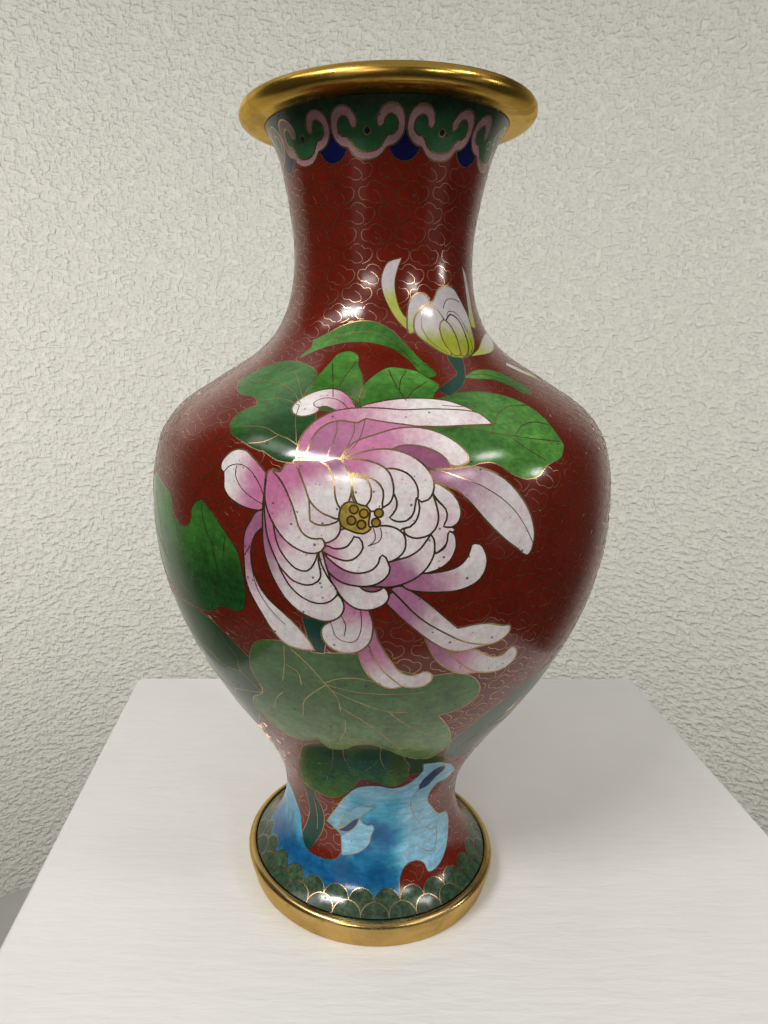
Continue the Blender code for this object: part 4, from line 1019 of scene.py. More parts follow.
def ribbons(name, lines, width, lift=WIRE_LIFT):
    """Closed wires with a flat polished top, three-sided, along chart lines."""
    points, faces, normals = [], [], []
    for line in lines:
        line = [p for k, p in enumerate(line) if k == 0 or gap_turned(line[k - 1], p) > SHORTEST_EDGE]
        if len(line) < 2:
            continue
        theta = np.array([p[0] for p in line])
        s = np.array([p[1] for p in line])
        theta = np.degrees(np.unwrap(np.radians(theta)))
        middle, up = on_wall(theta, s, lift)
        deep, _ = on_wall(theta, s, -WIRE_DEPTH)
        ahead = np.gradient(middle, axis=0)
        closed = np.linalg.norm(middle[0] - middle[-1]) < 1e-6 and len(line) > 3
        if closed:
            ahead[0] = ahead[-1] = middle[1] - middle[-2]
        side = np.cross(ahead, up)
        side /= np.maximum(np.linalg.norm(side, axis=1), 1e-12)[:, None]
        half = width / 2 * MM
        start = len(points)
        for k in range(len(line)):
            points += [middle[k] + side[k] * half, middle[k] - side[k] * half, deep[k]]
        for k in range(len(line) - 1):
            a, b = start + 3 * k, start + 3 * k + 3
            faces += [(a, b, b + 1, a + 1), (a + 1, b + 1, b + 2, a + 2), (a + 2, b + 2, b, a)]
            normals += [up[k], up[k + 1], up[k + 1], up[k]]
            normals += [-side[k]] * 4 + [side[k]] * 4
        end = len(points) - 3
        faces += [(start, start + 1, start + 2), (end + 2, end + 1, end)]
        normals += [-ahead[0] / np.linalg.norm(ahead[0])] * 3
        normals += [ahead[-1] / np.linalg.norm(ahead[-1])] * 3
    return mesh_from(name, points, faces, normals)


def gap_turned(a, b):
    """The same, for two points that may lie on either side of the back seam."""
    return gap((0.0, a[1]), (wrap(b[0] - a[0]), b[1]))


def owner_test(points, cells):
    """Index of the topmost cell at each chart point."""
    points = np.asarray(points)
    found = np.zeros(len(points), int) - 1
    for owner, cell in enumerate(cells):
        for moved in copies(cell.line):
            line = np.array(moved)
            low, high = line.min(axis=0), line.max(axis=0)
            near = np.where(np.all((points >= low) & (points <= high), axis=1))[0]
            if not len(near):
                continue
            x, y = points[near, 0][:, None], points[near, 1][:, None]
            x0, y0 = line[:, 0][None], line[:, 1][None]
            x1, y1 = np.roll(x0, -1, axis=1), np.roll(y0, -1, axis=1)
            crosses = (y0 > y) != (y1 > y)
            run = np.where(y1 == y0, 1.0, y1 - y0)
            hit = crosses & (x < (x1 - x0) * (y - y0) / run + x0)
            found[near[hit.sum(axis=1) % 2 == 1]] = owner
    return found


def cloud_lines(cells):
    """Scroll wires all over the red ground, in staggered rows."""
    rng = random.Random(SEED)
    lines = []
    s, row = CLOUD_TOP_ROW, 0
    while s > CLOUD_LOW_ROW:
        scale = 1.0 / degree_length(s)
        step = 360.0 / (CLOUD_PITCH * scale) / CLOUD_COUNT_STEP
        count = CLOUD_COUNT_STEP * max(1, round(step))
        for k in range(count):
            grown = CLOUD_SIZE * rng.uniform(*CLOUD_GROWTH)
            shift = rng.uniform(-CLOUD_SHIFT, CLOUD_SHIFT)
            angle = (k + 0.5 * (row % 2) + shift) * 360.0 / count
            angle = wrap(angle + CLOUD_TURN)
            height = s + rng.uniform(-CLOUD_RISE, CLOUD_RISE)
            knots = []
            for knot in CLOUD:
                place = (angle + knot[0] * grown * scale, height + knot[1] * grown)
                knots.append(place + knot[2:])
            lines.append(curve(knots, step=0.95))
        s -= CLOUD_ROWS
        row += 1
    flat = np.array([(wrap(a), s) for line in lines for a, s in line])
    ground = owner_test(flat, cells) == 0
    kept, place = [], 0
    for line in lines:
        inside = ground[place:place + len(line)]
        place += len(line)
        run = []
        for point, ok in zip(line, inside):
            if ok:
                run.append(point)
                continue
            if len(run) > 2:
                kept.append(run)
            run = []
        if len(run) > 2:
            kept.append(run)
    return kept


def lathe(name, section, segments=LATHE_SEGMENTS):
    """Ring turned from a closed (radius, height) section in millimetres."""
    section = np.array(section)
    angles = math.tau * (np.arange(segments) + 0.5) / segments
    points = []
    for a in angles:
        for r, z in section:
            points.append((r * math.sin(a) * MM, -r * math.cos(a) * MM, z * MM))
    count = len(section)
    faces = []
    for k in range(segments):
        here, there = k * count, (k + 1) % segments * count
        for i in range(count):
            j = (i + 1) % count
            faces.append((here + i, there + i, there + j, here + j))
    mesh = mesh_from(name, points, faces)
    mesh.set_sharp_from_angle(angle=math.radians(SHARP_ANGLE))
    return mesh


def rounded(section, step=0.5):
    """Smooth closed section through (radius, height) knots; 3 numbers = corner."""
    count = len(section)
    found = []
    for i in range(count):
        p1, p2 = section[i], section[(i + 1) % count]
        p0, p3 = section[i - 1], section[(i + 2) % count]
        if len(p1) > 2:
            p0 = (2 * p1[0] - p2[0], 2 * p1[1] - p2[1])
        if len(p2) > 2:
            p3 = (2 * p2[0] - p1[0], 2 * p2[1] - p1[1])
        parts = max(1, math.ceil(math.dist(p1[:2], p2[:2]) / step))
        for k in range(parts):
            found.append(catmull_rom(p0[:2], p1[:2], p2[:2], p3[:2], k / parts))
    return found


# ---------------------------------------------------------------- materials
class Nodes:
    """A small helper to write node trees in a few lines."""

    def __init__(self, name):
        self.material = bpy.data.materials.new(name)
        self.material.use_nodes = True
        self.tree = self.material.node_tree
        self.shader = self.tree.nodes["Principled BSDF"]
        self.place = self.add("ShaderNodeTexCoord").outputs["Object"]

    def add(self, kind, **settings):
        node = self.tree.nodes.new(kind)
        for key, value in settings.items():
            setattr(node, key, value)
        return node

    def plug(self, value, socket):
        if isinstance(value, bpy.types.NodeSocket):
            self.tree.links.new(value, socket)
        elif isinstance(value, (tuple, list, np.ndarray)):
            value = tuple(float(v) for v in value)
            socket.default_value = value if len(value) == len(socket.default_value) else value + (1.0,)
        else:
            socket.default_value = value

    def noise(self, scale, detail=3.0, rough=0.55, distortion=0.0, vector=None):
        node = self.add("ShaderNodeTexNoise")
        self.plug(self.place if vector is None else vector, node.inputs["Vector"])
        node.inputs["Scale"].default_value = scale
        node.inputs["Detail"].default_value = detail
        node.inputs["Roughness"].default_value = rough
        node.inputs["Distortion"].default_value = distortion
        return node.outputs["Fac"]

    def stretched(self, x, y, z):
        node = self.add("ShaderNodeMapping")
        self.plug(self.place, node.inputs["Vector"])
        node.inputs["Scale"].default_value = (x, y, z)
        return node.outputs["Vector"]

    def remap(self, value, low, high, out_low=0.0, out_high=1.0):
        node = self.add("ShaderNodeMapRange", interpolation_type="SMOOTHSTEP")
        self.plug(value, node.inputs["Value"])
        node.inputs["From Min"].default_value = low
        node.inputs["From Max"].default_value = high
        node.inputs["To Min"].default_value = out_low
        node.inputs["To Max"].default_value = out_high
        return node.outputs["Result"]

    def math(self, operation, a, b=0.0):
        node = self.add("ShaderNodeMath", operation=operation)
        self.plug(a, node.inputs[0])
        self.plug(b, node.inputs[1])
        return node.outputs["Value"]

    def mix(self, factor, a, b, blend="MIX"):
        node = self.add("ShaderNodeMix", data_type="RGBA", blend_type=blend)
        self.plug(factor, node.inputs["Factor"])
        self.plug(a, node.inputs["A"])
        self.plug(b, node.inputs["B"])
        return node.outputs["Result"]

    def spots(self, scale, radius, share, seed=0.0):
        """1 inside scattered round spots; share is how many cells have one."""
        vector = self.place
        if seed:
            node = self.add("ShaderNodeMapping")
            self.plug(self.place, node.inputs["Vector"])
            node.inputs["Location"].default_value = (seed, seed * 0.7, seed * 1.3)
            vector = node.outputs["Vector"]
        cell = self.add("ShaderNodeTexVoronoi")
        self.plug(vector, cell.inputs["Vector"])
        cell.inputs["Scale"].default_value = scale
        hue = self.add("ShaderNodeSeparateColor")
        self.plug(cell.outputs["Color"], hue.inputs["Color"])
        size = self.math("MULTIPLY", hue.outputs["Green"], radius)
        inside = self.math("SUBTRACT", size, cell.outputs["Distance"])
        inside = self.remap(inside, 0.0, radius * 0.35)
        chosen = self.math("LESS_THAN", hue.outputs["Red"], share)
        return self.math("MULTIPLY", inside, chosen)

    def bump(self, height, distance, strength=1.0, below=None):
        node = self.add("ShaderNodeBump")
        node.inputs["Strength"].default_value = strength
        node.inputs["Distance"].default_value = distance
        self.plug(height, node.inputs["Height"])
        if below is not None:
            self.plug(below, node.inputs["Normal"])
        return node.outputs["Normal"]

    def finish(self, colour, roughness, normal=None, metallic=0.0, **fixed):
        self.plug(colour, self.shader.inputs["Base Color"])
        self.plug(roughness, self.shader.inputs["Roughness"])
        self.shader.inputs["Metallic"].default_value = metallic
        if normal is not None:
            self.plug(normal, self.shader.inputs["Normal"])
        for key, value in fixed.items():
            self.shader.inputs[key.replace("_", " ")].default_value = value
        return self.material


PINK_FLUSH = (0.90, 0.62, 0.75)
PALE_FLUSH = (1.6, 1.4, 1.2)


def enamel(name, mottle=0.18, grain=0.12, streak=0.0, pits=0.3, pit_size=0.24,
           pit_colour=(0.03, 0.025, 0.025), gloss=0.13, flush=0.0, tint=PINK_FLUSH):
    """Polished glass enamel over the painted colour of each cell."""
    n = Nodes(name)
    paint = n.add("ShaderNodeAttribute", attribute_name="paint").outputs["Color"]
    cloud = n.noise(110.0, detail=4.0, rough=0.6, distortion=0.6)
    shade = n.remap(cloud, 0.3, 0.7, 1.0 - mottle, 1.0 + mottle)
    fine = n.noise(720.0, detail=4.0, rough=0.75)
    shade = n.math("MULTIPLY", shade, n.remap(fine, 0.25, 0.75, 1.0 - grain, 1.0 + grain))
    if streak:
        strokes = n.stretched(0.6, 0.6, 2.4)
        brushed = n.noise(330.0, detail=3.0, rough=0.6, distortion=0.4, vector=strokes)
        shade = n.math("MULTIPLY", shade, n.remap(brushed, 0.3, 0.7, 1.0 - streak, 1.0 + streak))
    colour = n.mix(1.0, paint, shade, "MULTIPLY")
    if flush:
        patch = n.remap(n.noise(85.0, detail=6.0, rough=0.78, distortion=0.5), 0.46, 0.68, 0.0, flush)
        colour = n.mix(patch, colour, tint, "MULTIPLY")
    spots = n.spots(500.0, pit_size, pits)
    dust = n.spots(900.0, pit_size, pits * 0.7, seed=3.1)
    dark = n.math("MAXIMUM", spots, n.math("MULTIPLY", dust, 0.6))
    colour = n.mix(n.math("MULTIPLY", dark, 0.85), colour, pit_colour)
    wave = n.noise(70.0, detail=2.0, rough=0.5)
    peel = n.noise(420.0, detail=2.0, rough=0.5)
    normal = n.bump(wave, 0.00008)
    normal = n.bump(peel, 0.00001, below=normal)
    normal = n.bump(n.math("SUBTRACT", 1.0, spots), 0.00006, below=normal)
    worn = n.remap(n.noise(38.0, detail=5.0, rough=0.7), 0.35, 0.75, gloss, gloss + 0.1)
    roughness = n.math("ADD", worn, n.math("MULTIPLY", spots, 0.4))
    return n.finish(colour, roughness, normal, IOR=1.46)


GILT_EDGE = (0.90, 0.78, 0.54, 1.0)


def gilding(name, bright=(0.80, 0.53, 0.17), dull=(0.36, 0.20, 0.05), rough=0.17):
    """Rubbed gilt brass with tarnish, fine scratches and small dents."""
    n = Nodes(name)
    tarnish = n.noise(60.0, detail=6.0, rough=0.65, distortion=0.8)
    specks = n.spots(330.0, 0.3, 0.35)
    film = n.remap(tarnish, 0.42, 0.72)
    colour = n.mix(n.math("MULTIPLY", film, 0.55), bright, dull)
    colour = n.mix(n.math("MULTIPLY", specks, 0.45), colour, dull)
    scratch = n.noise(900.0, detail=3.0, rough=0.7, vector=n.stretched(0.25, 0.25, 2.6))
    normal = n.bump(n.noise(45.0, detail=1.0, rough=0.5), 0.00002)
    normal = n.bump(scratch, 0.000004, below=normal)
    roughness = n.math("ADD", n.remap(film, 0.0, 1.0, rough, rough + 0.12),
                       n.remap(scratch, 0.4, 0.7, 0.0, 0.05))
    return n.finish(colour, roughness, normal, metallic=1.0, Specular_Tint=GILT_EDGE)


def wire_metal(name, bright=(0.46, 0.32, 0.16), dull=(0.18, 0.11, 0.055)):
    """Polished wire, slightly tarnished along its length."""
    n = Nodes(name)
    film = n.remap(n.noise(160.0, detail=4.0, rough=0.6), 0.35, 0.75)
    colour = n.mix(n.math("MULTIPLY", film, 0.6), bright, dull)
    normal = n.bump(n.noise(70.0, detail=2.0, rough=0.5), 0.00008)
    return n.finish(colour, n.remap(film, 0.0, 1.0, 0.2, 0.34), normal, metallic=1.0)


def copper_metal(name):
    """Spun copper with a brown film and turning marks."""
    n = Nodes(name)
    film = n.remap(n.noise(45.0, detail=6.0, rough=0.65, distortion=0.5), 0.35, 0.75)
    colour = n.mix(film, (0.64, 0.29, 0.16), (0.19, 0.075, 0.045))
    rings = n.noise(500.0, detail=2.0, rough=0.6, vector=n.stretched(0.1, 0.1, 3.0))
    normal = n.bump(rings, 0.00003)
    return n.finish(colour, n.remap(film, 0.0, 1.0, 0.28, 0.55), normal, metallic=1.0)


def lining_enamel(name):
    """Turquoise counter-enamel: runny, speckled and less polished."""
    n = Nodes(name)
    cloud = n.remap(n.noise(60.0, detail=5.0, rough=0.65, distortion=0.8), 0.3, 0.7)
    colour = n.mix(cloud, (0.035, 0.27, 0.33), (0.075, 0.42, 0.46))
    speck = n.spots(420.0, 0.32, 0.45)
    colour = n.mix(n.math("MULTIPLY", speck, 0.8), colour, (0.02, 0.07, 0.09))
    normal = n.bump(n.noise(150.0, detail=3.0, rough=0.6), 0.00025)
    normal = n.bump(n.math("SUBTRACT", 1.0, speck), 0.00008, below=normal)
    return n.finish(colour, n.remap(cloud, 0.0, 1.0, 0.22, 0.34), normal, IOR=1.5)


def painted_board(name):
    """White painted plinth with faint roller marks."""
    n = Nodes(name)
    cloud = n.remap(n.noise(9.0, detail=5.0, rough=0.6), 0.3, 0.7, 0.96, 1.02)
    marks = n.noise(160.0, detail=3.0, rough=0.6, distortion=0.2, vector=n.stretched(0.35, 1.6, 1.0))
    colour = n.mix(1.0, (0.92, 0.91, 0.88), cloud, "MULTIPLY")
    normal = n.bump(marks, 0.0006, 0.8)
    return n.finish(colour, n.remap(marks, 0.3, 0.7, 0.42, 0.55), normal)


def backdrop_paint(name):
    """Pale wall covering with a woven relief, with painted shade on the unlit front side of the room
    and high up.
    """
    n = Nodes(name)
    split = n.add("ShaderNodeSeparateXYZ")
    n.plug(n.place, split.inputs["Vector"])
    # Painted shade: pale behind the vase, dark towards the front and above 0.85 m, for the unlit room.
    behind = n.math("SUBTRACT", split.outputs["Y"],
                    n.remap(split.outputs["X"], 0.2, 1.0, 0.0, BACK_RIGHT_SHIFT))
    rear = n.math("MULTIPLY", n.remap(behind, BACK_PAINTED_SHADE_Y, BACK_PALE_Y),
                  n.remap(split.outputs["Z"], 0.85, 1.35, 1.0, 0.0))
    flat, upright = n.stretched(0.75, 0.75, 1.3), n.stretched(1.4, 1.4, 0.7)
    across = n.noise(WEAVE_SCALE, detail=1.0, rough=0.5, vector=flat)
    along = n.noise(WEAVE_SCALE * 1.3, detail=1.0, rough=0.5, vector=upright)
    weave = n.math("ADD", across, n.math("MULTIPLY", along, 0.6))
    relief = n.remap(weave, 0.50, 1.10)
    # Painted shade on the weave: the paint darkens in its hollows and lightens on its ridges.
    shade = n.remap(relief, 0.0, 1.0, 0.96, 1.03)
    pale = n.mix(1.0, BACK_PALE, shade, "MULTIPLY")
    colour = n.mix(rear, BACK_PAINTED_SHADE, pale)
    normal = n.bump(relief, WEAVE_DEPTH)
    return n.finish(colour, n.remap(relief, 0.0, 1.0, 0.85, 0.95), normal)


def floor_paint(name):
    """Pale matt floor far below, faintly mottled."""
    n = Nodes(name)
    cloud = n.remap(n.noise(3.0, detail=5.0, rough=0.6), 0.3, 0.7, 0.94, 1.05)
    colour = n.mix(1.0, (0.42, 0.41, 0.385), cloud, "MULTIPLY")
    normal = n.bump(n.noise(60.0, detail=3.0, rough=0.6), 0.0004)
    return n.finish(colour, n.remap(cloud, 0.94, 1.05, 0.6, 0.75), normal)


# ---------------------------------------------------------------- assembly
MATERIAL_OF = {
    "ground_red": ("enamel_red", dict(mottle=0.12, grain=0.12, pits=0.12)),
    "collar_ground": ("enamel_collar_green", dict(mottle=0.25, grain=0.35)),
    "ruyi_heads": ("enamel_mauve", dict(mottle=0.14, grain=0.16)),
    "navy_lobes": ("enamel_navy", dict(mottle=0.15, grain=0.15)),
    "scale_border": ("enamel_scale_green", dict(mottle=0.40, grain=0.65, pits=0.5)),
    "rock": ("enamel_blue", dict(mottle=0.12, grain=0.14, streak=0.18, pits=0.30,
                                 pit_size=0.20)),
    "leaf": ("enamel_leaf_green", dict(mottle=0.22, grain=0.30, streak=0.12, pits=0.35,
                                       pit_size=0.22, flush=0.7, tint=PALE_FLUSH)),
    "stem": ("enamel_teal", dict(mottle=0.15, grain=0.15)),
    "bud": ("enamel_bud_yellow", dict(mottle=0.08, grain=0.10, pits=0.3, pit_size=0.20)),
    "petal": ("enamel_petal", dict(mottle=0.07, grain=0.14, pits=0.75, pit_size=0.23,
                                   pit_colour=(0.05, 0.04, 0.05), flush=0.6)),
    "ochre": ("enamel_ochre", dict(mottle=0.25, grain=0.30)),
}
# Pieces by material key and record slot; each stands for the CAD node "enamel_"
# plus its name, unless STANDS_FOR says otherwise.
PIECES = [
    ("ground_red", "ground_red", "enamel_red"),
    ("collar_ground", "collar_ground", "enamel_collar_green"),
    ("ruyi_heads", "ruyi_heads", "enamel_mauve"),
    ("navy_lobes", "navy_lobes", "enamel_navy"),
    ("scale_border", "scale_border", "enamel_scale_green"),
    ("rock", "rock", "enamel_blue"),
    ("stem_low", "stem", "enamel_leaf_dark"),
    ("leaf_low_left", "leaf", "enamel_leaf_dark"),
    ("leaf_low_middle", "leaf", "enamel_leaf_dark"),
    ("leaf_low_right", "leaf", "enamel_leaf_dark"),
    ("leaf_large_low", "leaf", "enamel_leaf_green"),
    ("leaf_left_dark", "leaf", "enamel_leaf_dark"),
    ("leaf_right_dark", "leaf", "enamel_leaf_dark"),
    ("leaf_left_side", "leaf", "enamel_leaf_green"),
    ("leaf_cluster_left", "leaf", "enamel_leaf_green"),
    ("leaf_arching", "leaf", "enamel_leaf_green"),
    ("leaf_upper_small", "leaf", "enamel_leaf_green"),
    ("leaf_upper_middle", "leaf", "enamel_leaf_green"),
    ("leaf_right_small", "leaf", "enamel_leaf_green"),
    ("leaf_right_large", "leaf", "enamel_leaf_green"),
    ("stem_under_flower", "stem", "enamel_teal"),
    ("bud_stem", "stem", "enamel_teal"),
    ("bud_petal_left", "bud", "enamel_white"),
    ("bud_petal_right", "bud", "enamel_white"),
    ("bud_petal_low", "bud", "enamel_white"),
    ("bud_petal_tip", "bud", "enamel_white"),
    ("bud", "bud", "enamel_bud_yellow"),
    ("chrysanthemum", "petal", "enamel_petal"),
    ("flower_centre", "ochre", "enamel_ochre"),
]
STANDS_FOR = {
    "ground_red": ["enamel_ground_red", "enamel_pocket_by_stem"],
    "ruyi_heads": ["enamel_ruyi_head_%02d" % (k + 1) for k in range(RUYI_COUNT)],
    "navy_lobes": ["enamel_navy_lobe_%02d" % (k + 1) for k in range(RUYI_COUNT)],
    "leaf_right_dark": [],
    "stem_under_flower": [],
    "bud_petal_tip": [],
}

RIM_SECTION = [
    (33.7, 256.0, 1), (36.75, 253.85, 1), (38.8, 253.95), (41.3, 254.0), (43.1, 254.6),
    (44.15, 255.7), (44.4, 257.1), (43.9, 258.5), (42.6, 259.55), (40.8, 260.0),
    (38.2, 259.85), (35.9, 259.2), (34.3, 258.0),
]
FOOT_SECTION = [
    (40.2, 0.1, 1), (43.0, 0.0, 1), (43.5, 0.4), (44.3, 3.4), (45.2, 7.0), (45.25, 8.2),
    (44.7, 9.2), (43.8, 9.75), (42.85, 9.75, 1), (42.5, 9.3, 1), (42.5, 5.4, 1), (40.2, 5.4, 1),
]
LINING_DEPTHS = (2.9, 4.0)
S_LINING_LOW = 1.6
LINING_OVERLAP = 0.3        # how far the lining runs on under the rim ring
LINING_ROWS = 180
BASE_LINING = [(0.05, 7.0, 1), (38.2, 7.0, 1), (38.2, 7.5, 1), (0.05, 7.5, 1)]
BASE_ENAMEL = [(0.05, 4.6, 1), (39.9, 4.6, 1), (39.9, 5.4, 1), (0.05, 5.4, 1)]


def build_enamel():
    """All coloured plates; returns what the wires need."""
    cells = all_cells()
    chart, triangles, owners = triangulate(cells)
    made = {key: enamel(name + "_look", **settings)
            for key, (name, settings) in MATERIAL_OF.items()}
    piece_of = np.array([cell.piece for cell in cells])[owners]
    for name, key, slot in PIECES:
        mine = piece_of == name
        mesh = plate(name, chart, triangles[mine], owners[mine], cells)
        link(name, mesh, made[key], STANDS_FOR.get(name, ["enamel_" + name]))
    return cells, chart, triangles, owners


def build_wires(cells, chart, triangles, owners):
    """Wires round the cells, wires that end inside one, and cloud scrolls."""
    metal = wire_metal("brass_wire_look")
    heavy, light = wire_edges(triangles, owners, cells)
    for name, edges, width in (("wires_petals", heavy, PETAL_WIRE_WIDTH),
                               ("wires_outlines", light, WIRE_WIDTH)):
        mesh = ribbons(name, wire_chains(chart, edges), width)
        link(name, mesh, metal)
    veins = [curve(line, step=0.8) for line in FREE_WIRES]
    link("wires_veins", ribbons("wires_veins", veins, VEIN_WIDTH), metal)
    clouds = cloud_lines(cells)
    front = [line for line in clouds if abs(wrap(line[0][0])) < 90.0]
    back = [line for line in clouds if abs(wrap(line[0][0])) >= 90.0]
    scroll = wire_metal("scroll_wire_look", (0.52, 0.30, 0.19), (0.24, 0.11, 0.07))
    for name, lines in (("wires_scrolls_front", front), ("wires_scrolls_back", back)):
        link(name, ribbons(name, lines, SCROLL_WIDTH), scroll)


def build_rings():
    gilt = gilding("gilt_rim_look", (0.60, 0.38, 0.08), (0.30, 0.15, 0.03), 0.20)
    foot = gilding("gilt_foot_look", (0.58, 0.40, 0.15), (0.34, 0.21, 0.07), 0.18)
    link("rim_ring", lathe("rim_ring", rounded(RIM_SECTION)), gilt, ["gilt_rim_ring"])
    link("foot_ring", lathe("foot_ring", rounded(FOOT_SECTION)), foot, ["gilt_foot_ring"])


def build_lining():
    """Counter-enamel inside and under the base, and the look of the copper shells."""
    look = lining_enamel("turquoise_look")
    rows = np.linspace(S_LINING_LOW, S_RIM + LINING_OVERLAP, LINING_ROWS)
    section = []
    for depth, order in ((LINING_DEPTHS[0], rows), (LINING_DEPTHS[1], rows[::-1])):
        for s in order:
            point, _ = on_wall(0.0, s, -depth)
            section.append((-point[1] / MM, point[2] / MM))
    link("lining", lathe("lining", section), look, ["lining_body", "lining_neck"])
    for name, shape, node in (("lining_base", BASE_LINING, "lining_base"),
                              ("base_enamel", BASE_ENAMEL, "base_counter_enamel")):
        link(name + "_fine", lathe(name, rounded(shape, 2.0)), look, [node])
    copper = copper_metal("copper_look")
    for name in ("copper_base_plate", "copper_foot_skirt", "copper_lower_body",
                 "copper_upper_body", "copper_neck"):
        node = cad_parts[name]
        node.data.materials.clear()
        node.data.materials.append(copper)


# ---------------------------------------------------------------- stage
PLINTH_SIDE = 0.283
PLINTH_CENTRE = (0.019, 0.003)
PLINTH_TURN = 4.7
PLINTH_EDGE = 0.0015
FLOOR_Z = -1.2
BACK_RADIUS = 1.55
BACK_TOP = 1.7
# The wall is pale behind the vase and turns to painted shade towards the front of the room and high
# up.
BACK_PALE_Y = 0.75
BACK_PAINTED_SHADE_Y = 0.15
BACK_RIGHT_SHIFT = 0.5
BACK_PALE = (0.66, 0.66, 0.60)
BACK_PAINTED_SHADE = (0.12, 0.118, 0.11)
WEAVE_SCALE = 78.0
WEAVE_DEPTH = 0.0045
WORLD_COLOUR = (1.0, 0.98, 0.95, 1.0)
WORLD_STRENGTH = 0.39
LAMP_COLOUR = (1.0, 0.975, 0.94)
AIM = Vector((0.0, 0.0, 0.13))
# Lamps aimed at the vase: name, azimuth (0 = front, + = right), elevation in
# degrees, distance, width, height in metres, radiance.
LAMPS = [
    ("ceiling_left", -40.0, 44.0, 1.4, 0.46, 0.15, 44.0),
    ("ceiling_middle", -16.0, 24.0, 1.4, 0.36, 0.10, 20.0),
    ("ceiling_right", 38.0, 26.0, 1.4, 0.30, 0.10, 20.0),
    ("ceiling_right_far", 62.0, 40.0, 1.4, 0.28, 0.12, 24.0),
    ("ceiling_side", 79.0, 16.0, 1.4, 0.16, 0.10, 24.0),
    ("window_left", -29.0, 4.0, 1.25, 0.34, 0.72, 0.4),
    ("window_right", 62.0, -2.0, 1.25, 0.50, 0.50, 0.25),
    ("ceiling_far_left", -70.0, 46.0, 1.4, 0.55, 0.22, 3.2),
    ("soft_left", -140.0, 38.0, 1.3, 1.1, 1.1, 0.35),
]
# Soft lights that face the back wall only: name, x, y, z, width, height, radiance.
WALL_LIGHTS = [
    ("wall_light_left", -0.60, 0.35, 0.10, 1.0, 1.5, 2.05),
    ("wall_light_right", 0.60, 0.35, 0.10, 1.0, 1.5, 1.0),
]


def bevelled_block(name, side, top, bottom, edge):
    """Square block with small chamfers along every edge."""
    half = side / 2
    points, faces = [], []
    for inset, z in ((edge, bottom), (0.0, bottom + edge), (0.0, top - edge), (edge, top)):
        h = half - inset
        for x, y in ((edge - h, -h), (h - edge, -h), (h, edge - h), (h, h - edge),
                     (h - edge, h), (edge - h, h), (-h, h - edge), (-h, edge - h)):
            points.append((x, y, z))
    faces.append(tuple(reversed(range(8))))
    faces.append(tuple(range(24, 32)))
    for ring in range(3):
        for k in range(8):
            a, b = ring * 8 + k, ring * 8 + (k + 1) % 8
            faces.append((a, b, b + 8, a + 8))
    mesh = bpy.data.meshes.new(name)
    mesh.from_pydata(points, [], faces)
    return mesh


def room_mesh(name, rows, columns=96):
    """Open surface turned from (radius, height) rows, seen from inside."""
    points, faces = [], []
    for radius, z in rows:
        for k in range(columns):
            a = math.tau * k / columns
            points.append((radius * math.sin(a), radius * math.cos(a), z))
    for row in range(len(rows) - 1):
        for k in range(columns):
            a, b = row * columns + k, row * columns + (k + 1) % columns
            faces.append((a, a + columns, b + columns, b))
    mesh = bpy.data.meshes.new(name)
    mesh.from_pydata(points, [], faces)
    mesh.polygons.foreach_set("use_smooth", [True] * len(mesh.polygons))
    return mesh


def build_stage():
    """Plinth, rough wall and floor, which are not part of the vase."""
    block = bevelled_block("plinth", PLINTH_SIDE, 0.0, FLOOR_Z, PLINTH_EDGE)
    block.materials.append(painted_board("plinth_paint"))
    plinth = bpy.data.objects.new("plinth", block)
    plinth.location = PLINTH_CENTRE + (0.0,)
    plinth.rotation_euler = (0.0, 0.0, math.radians(PLINTH_TURN))
    wall_rows = [(BACK_RADIUS, FLOOR_Z + (BACK_TOP - FLOOR_Z) * k / 6) for k in range(7)]
    wall = room_mesh("backdrop", wall_rows)
    wall.materials.append(backdrop_paint("backdrop_paint"))
    floor = room_mesh("floor", [(0.02, FLOOR_Z), (0.8, FLOOR_Z), (BACK_RADIUS, FLOOR_Z)])
    floor.materials.append(floor_paint("floor_paint"))
    stage = [plinth, bpy.data.objects.new("backdrop", wall), bpy.data.objects.new("floor", floor)]
    for made in stage:
        bpy.context.scene.collection.objects.link(made)


def direction(azimuth, elevation):
    """Unit vector from the vase, azimuth 0 towards its front."""
    a, e = math.radians(azimuth), math.radians(elevation)
    return Vector((math.sin(a) * math.cos(e), -math.cos(a) * math.cos(e), math.sin(e)))


def add_lamp(name, place, facing, width, height, radiance):
    """Rectangular lamp that shines along facing and stays out of sight."""
    lamp = bpy.data.lights.new(name, "AREA")
    lamp.shape = "RECTANGLE"
    lamp.size, lamp.size_y = width, height
    lamp.energy = radiance * math.pi * width * height
    lamp.color = LAMP_COLOUR
    made = bpy.data.objects.new(name, lamp)
    made.location = place
    made.rotation_euler = (-facing).to_track_quat("Z", "Y").to_euler()
    made.visible_camera = False
    bpy.context.scene.collection.objects.link(made)


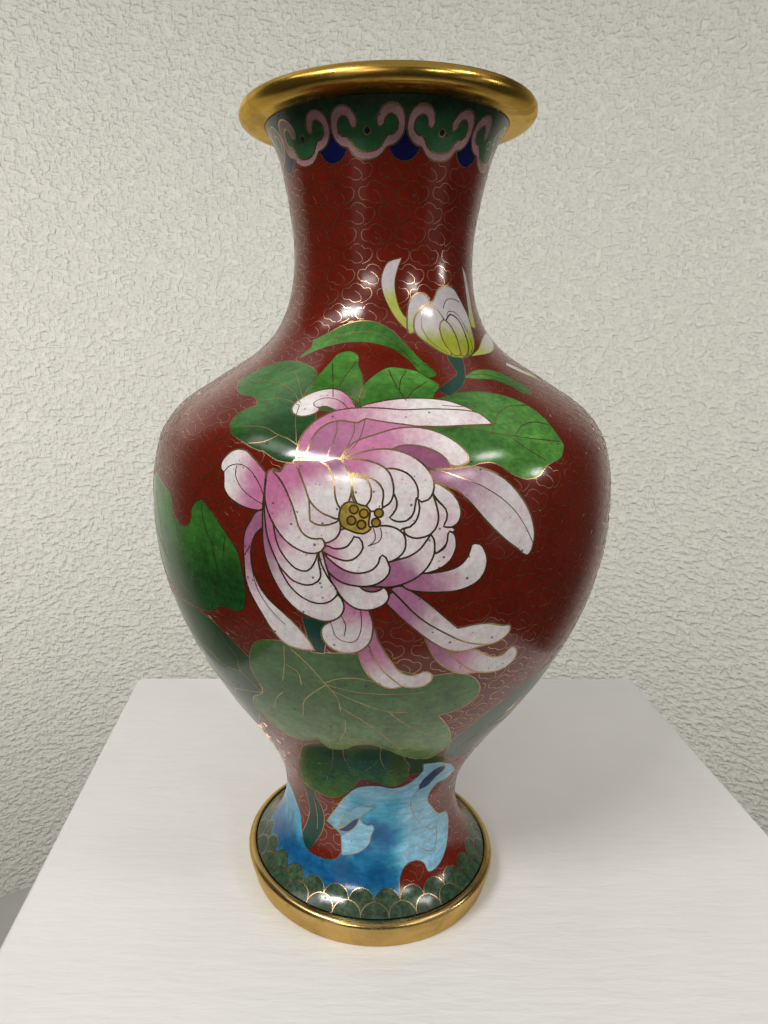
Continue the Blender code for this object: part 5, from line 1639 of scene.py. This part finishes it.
def build_lights():
    for name, azimuth, elevation, distance, width, height, radiance in LAMPS:
        out = direction(azimuth, elevation)
        add_lamp(name, AIM + out * distance, -out, width, height, radiance)
    for name, x, y, z, width, height, radiance in WALL_LIGHTS:
        add_lamp(name, Vector((x, y, z)), Vector((0.0, 1.0, 0.0)), width, height, radiance)
    world = bpy.data.worlds.new("room")
    world.use_nodes = True
    world.node_tree.nodes["Background"].inputs["Color"].default_value = WORLD_COLOUR
    world.node_tree.nodes["Background"].inputs["Strength"].default_value = WORLD_STRENGTH
    bpy.context.scene.world = world


# ---------------------------------------------------------------- camera
# Metres, degrees and millimetres of lens, from the same fit as PROFILE.
CAMERA_DISTANCE = 0.2409
CAMERA_HEIGHT = 0.19541
CAMERA_YAW = -3.948
CAMERA_PITCH = -12.984
CAMERA_ROLL = 0.4456
CAMERA_LENS = 25.576
CAMERA_SHIFT = (0.0545, -0.0159)


def build_camera():
    """Camera at the photograph's viewing angle."""
    yaw, pitch, roll = (math.radians(v) for v in (CAMERA_YAW, CAMERA_PITCH, CAMERA_ROLL))
    ahead = Vector((math.sin(yaw) * math.cos(pitch), math.cos(yaw) * math.cos(pitch),
                    math.sin(pitch)))
    right = Vector((math.cos(yaw), -math.sin(yaw), 0.0))
    up = right.cross(ahead)
    right, up = (right * math.cos(roll) + up * math.sin(roll),
                 up * math.cos(roll) - right * math.sin(roll))
    data = bpy.data.cameras.new("camera")
    data.lens = CAMERA_LENS
    data.sensor_width = 36.0
    data.shift_x, data.shift_y = CAMERA_SHIFT
    data.clip_start, data.clip_end = 0.01, 20.0
    made = bpy.data.objects.new("camera", data)
    turn = Matrix((right, up, -ahead)).transposed().to_4x4()
    made.matrix_world = Matrix.Translation((0.0, -CAMERA_DISTANCE, CAMERA_HEIGHT)) @ turn
    bpy.context.scene.collection.objects.link(made)
    bpy.context.scene.camera = made


build_camera()
build_lights()
build_stage()
build_rings()
build_lining()
build_wires(*build_enamel())
bpy.context.scene.view_settings.view_transform = "Standard"
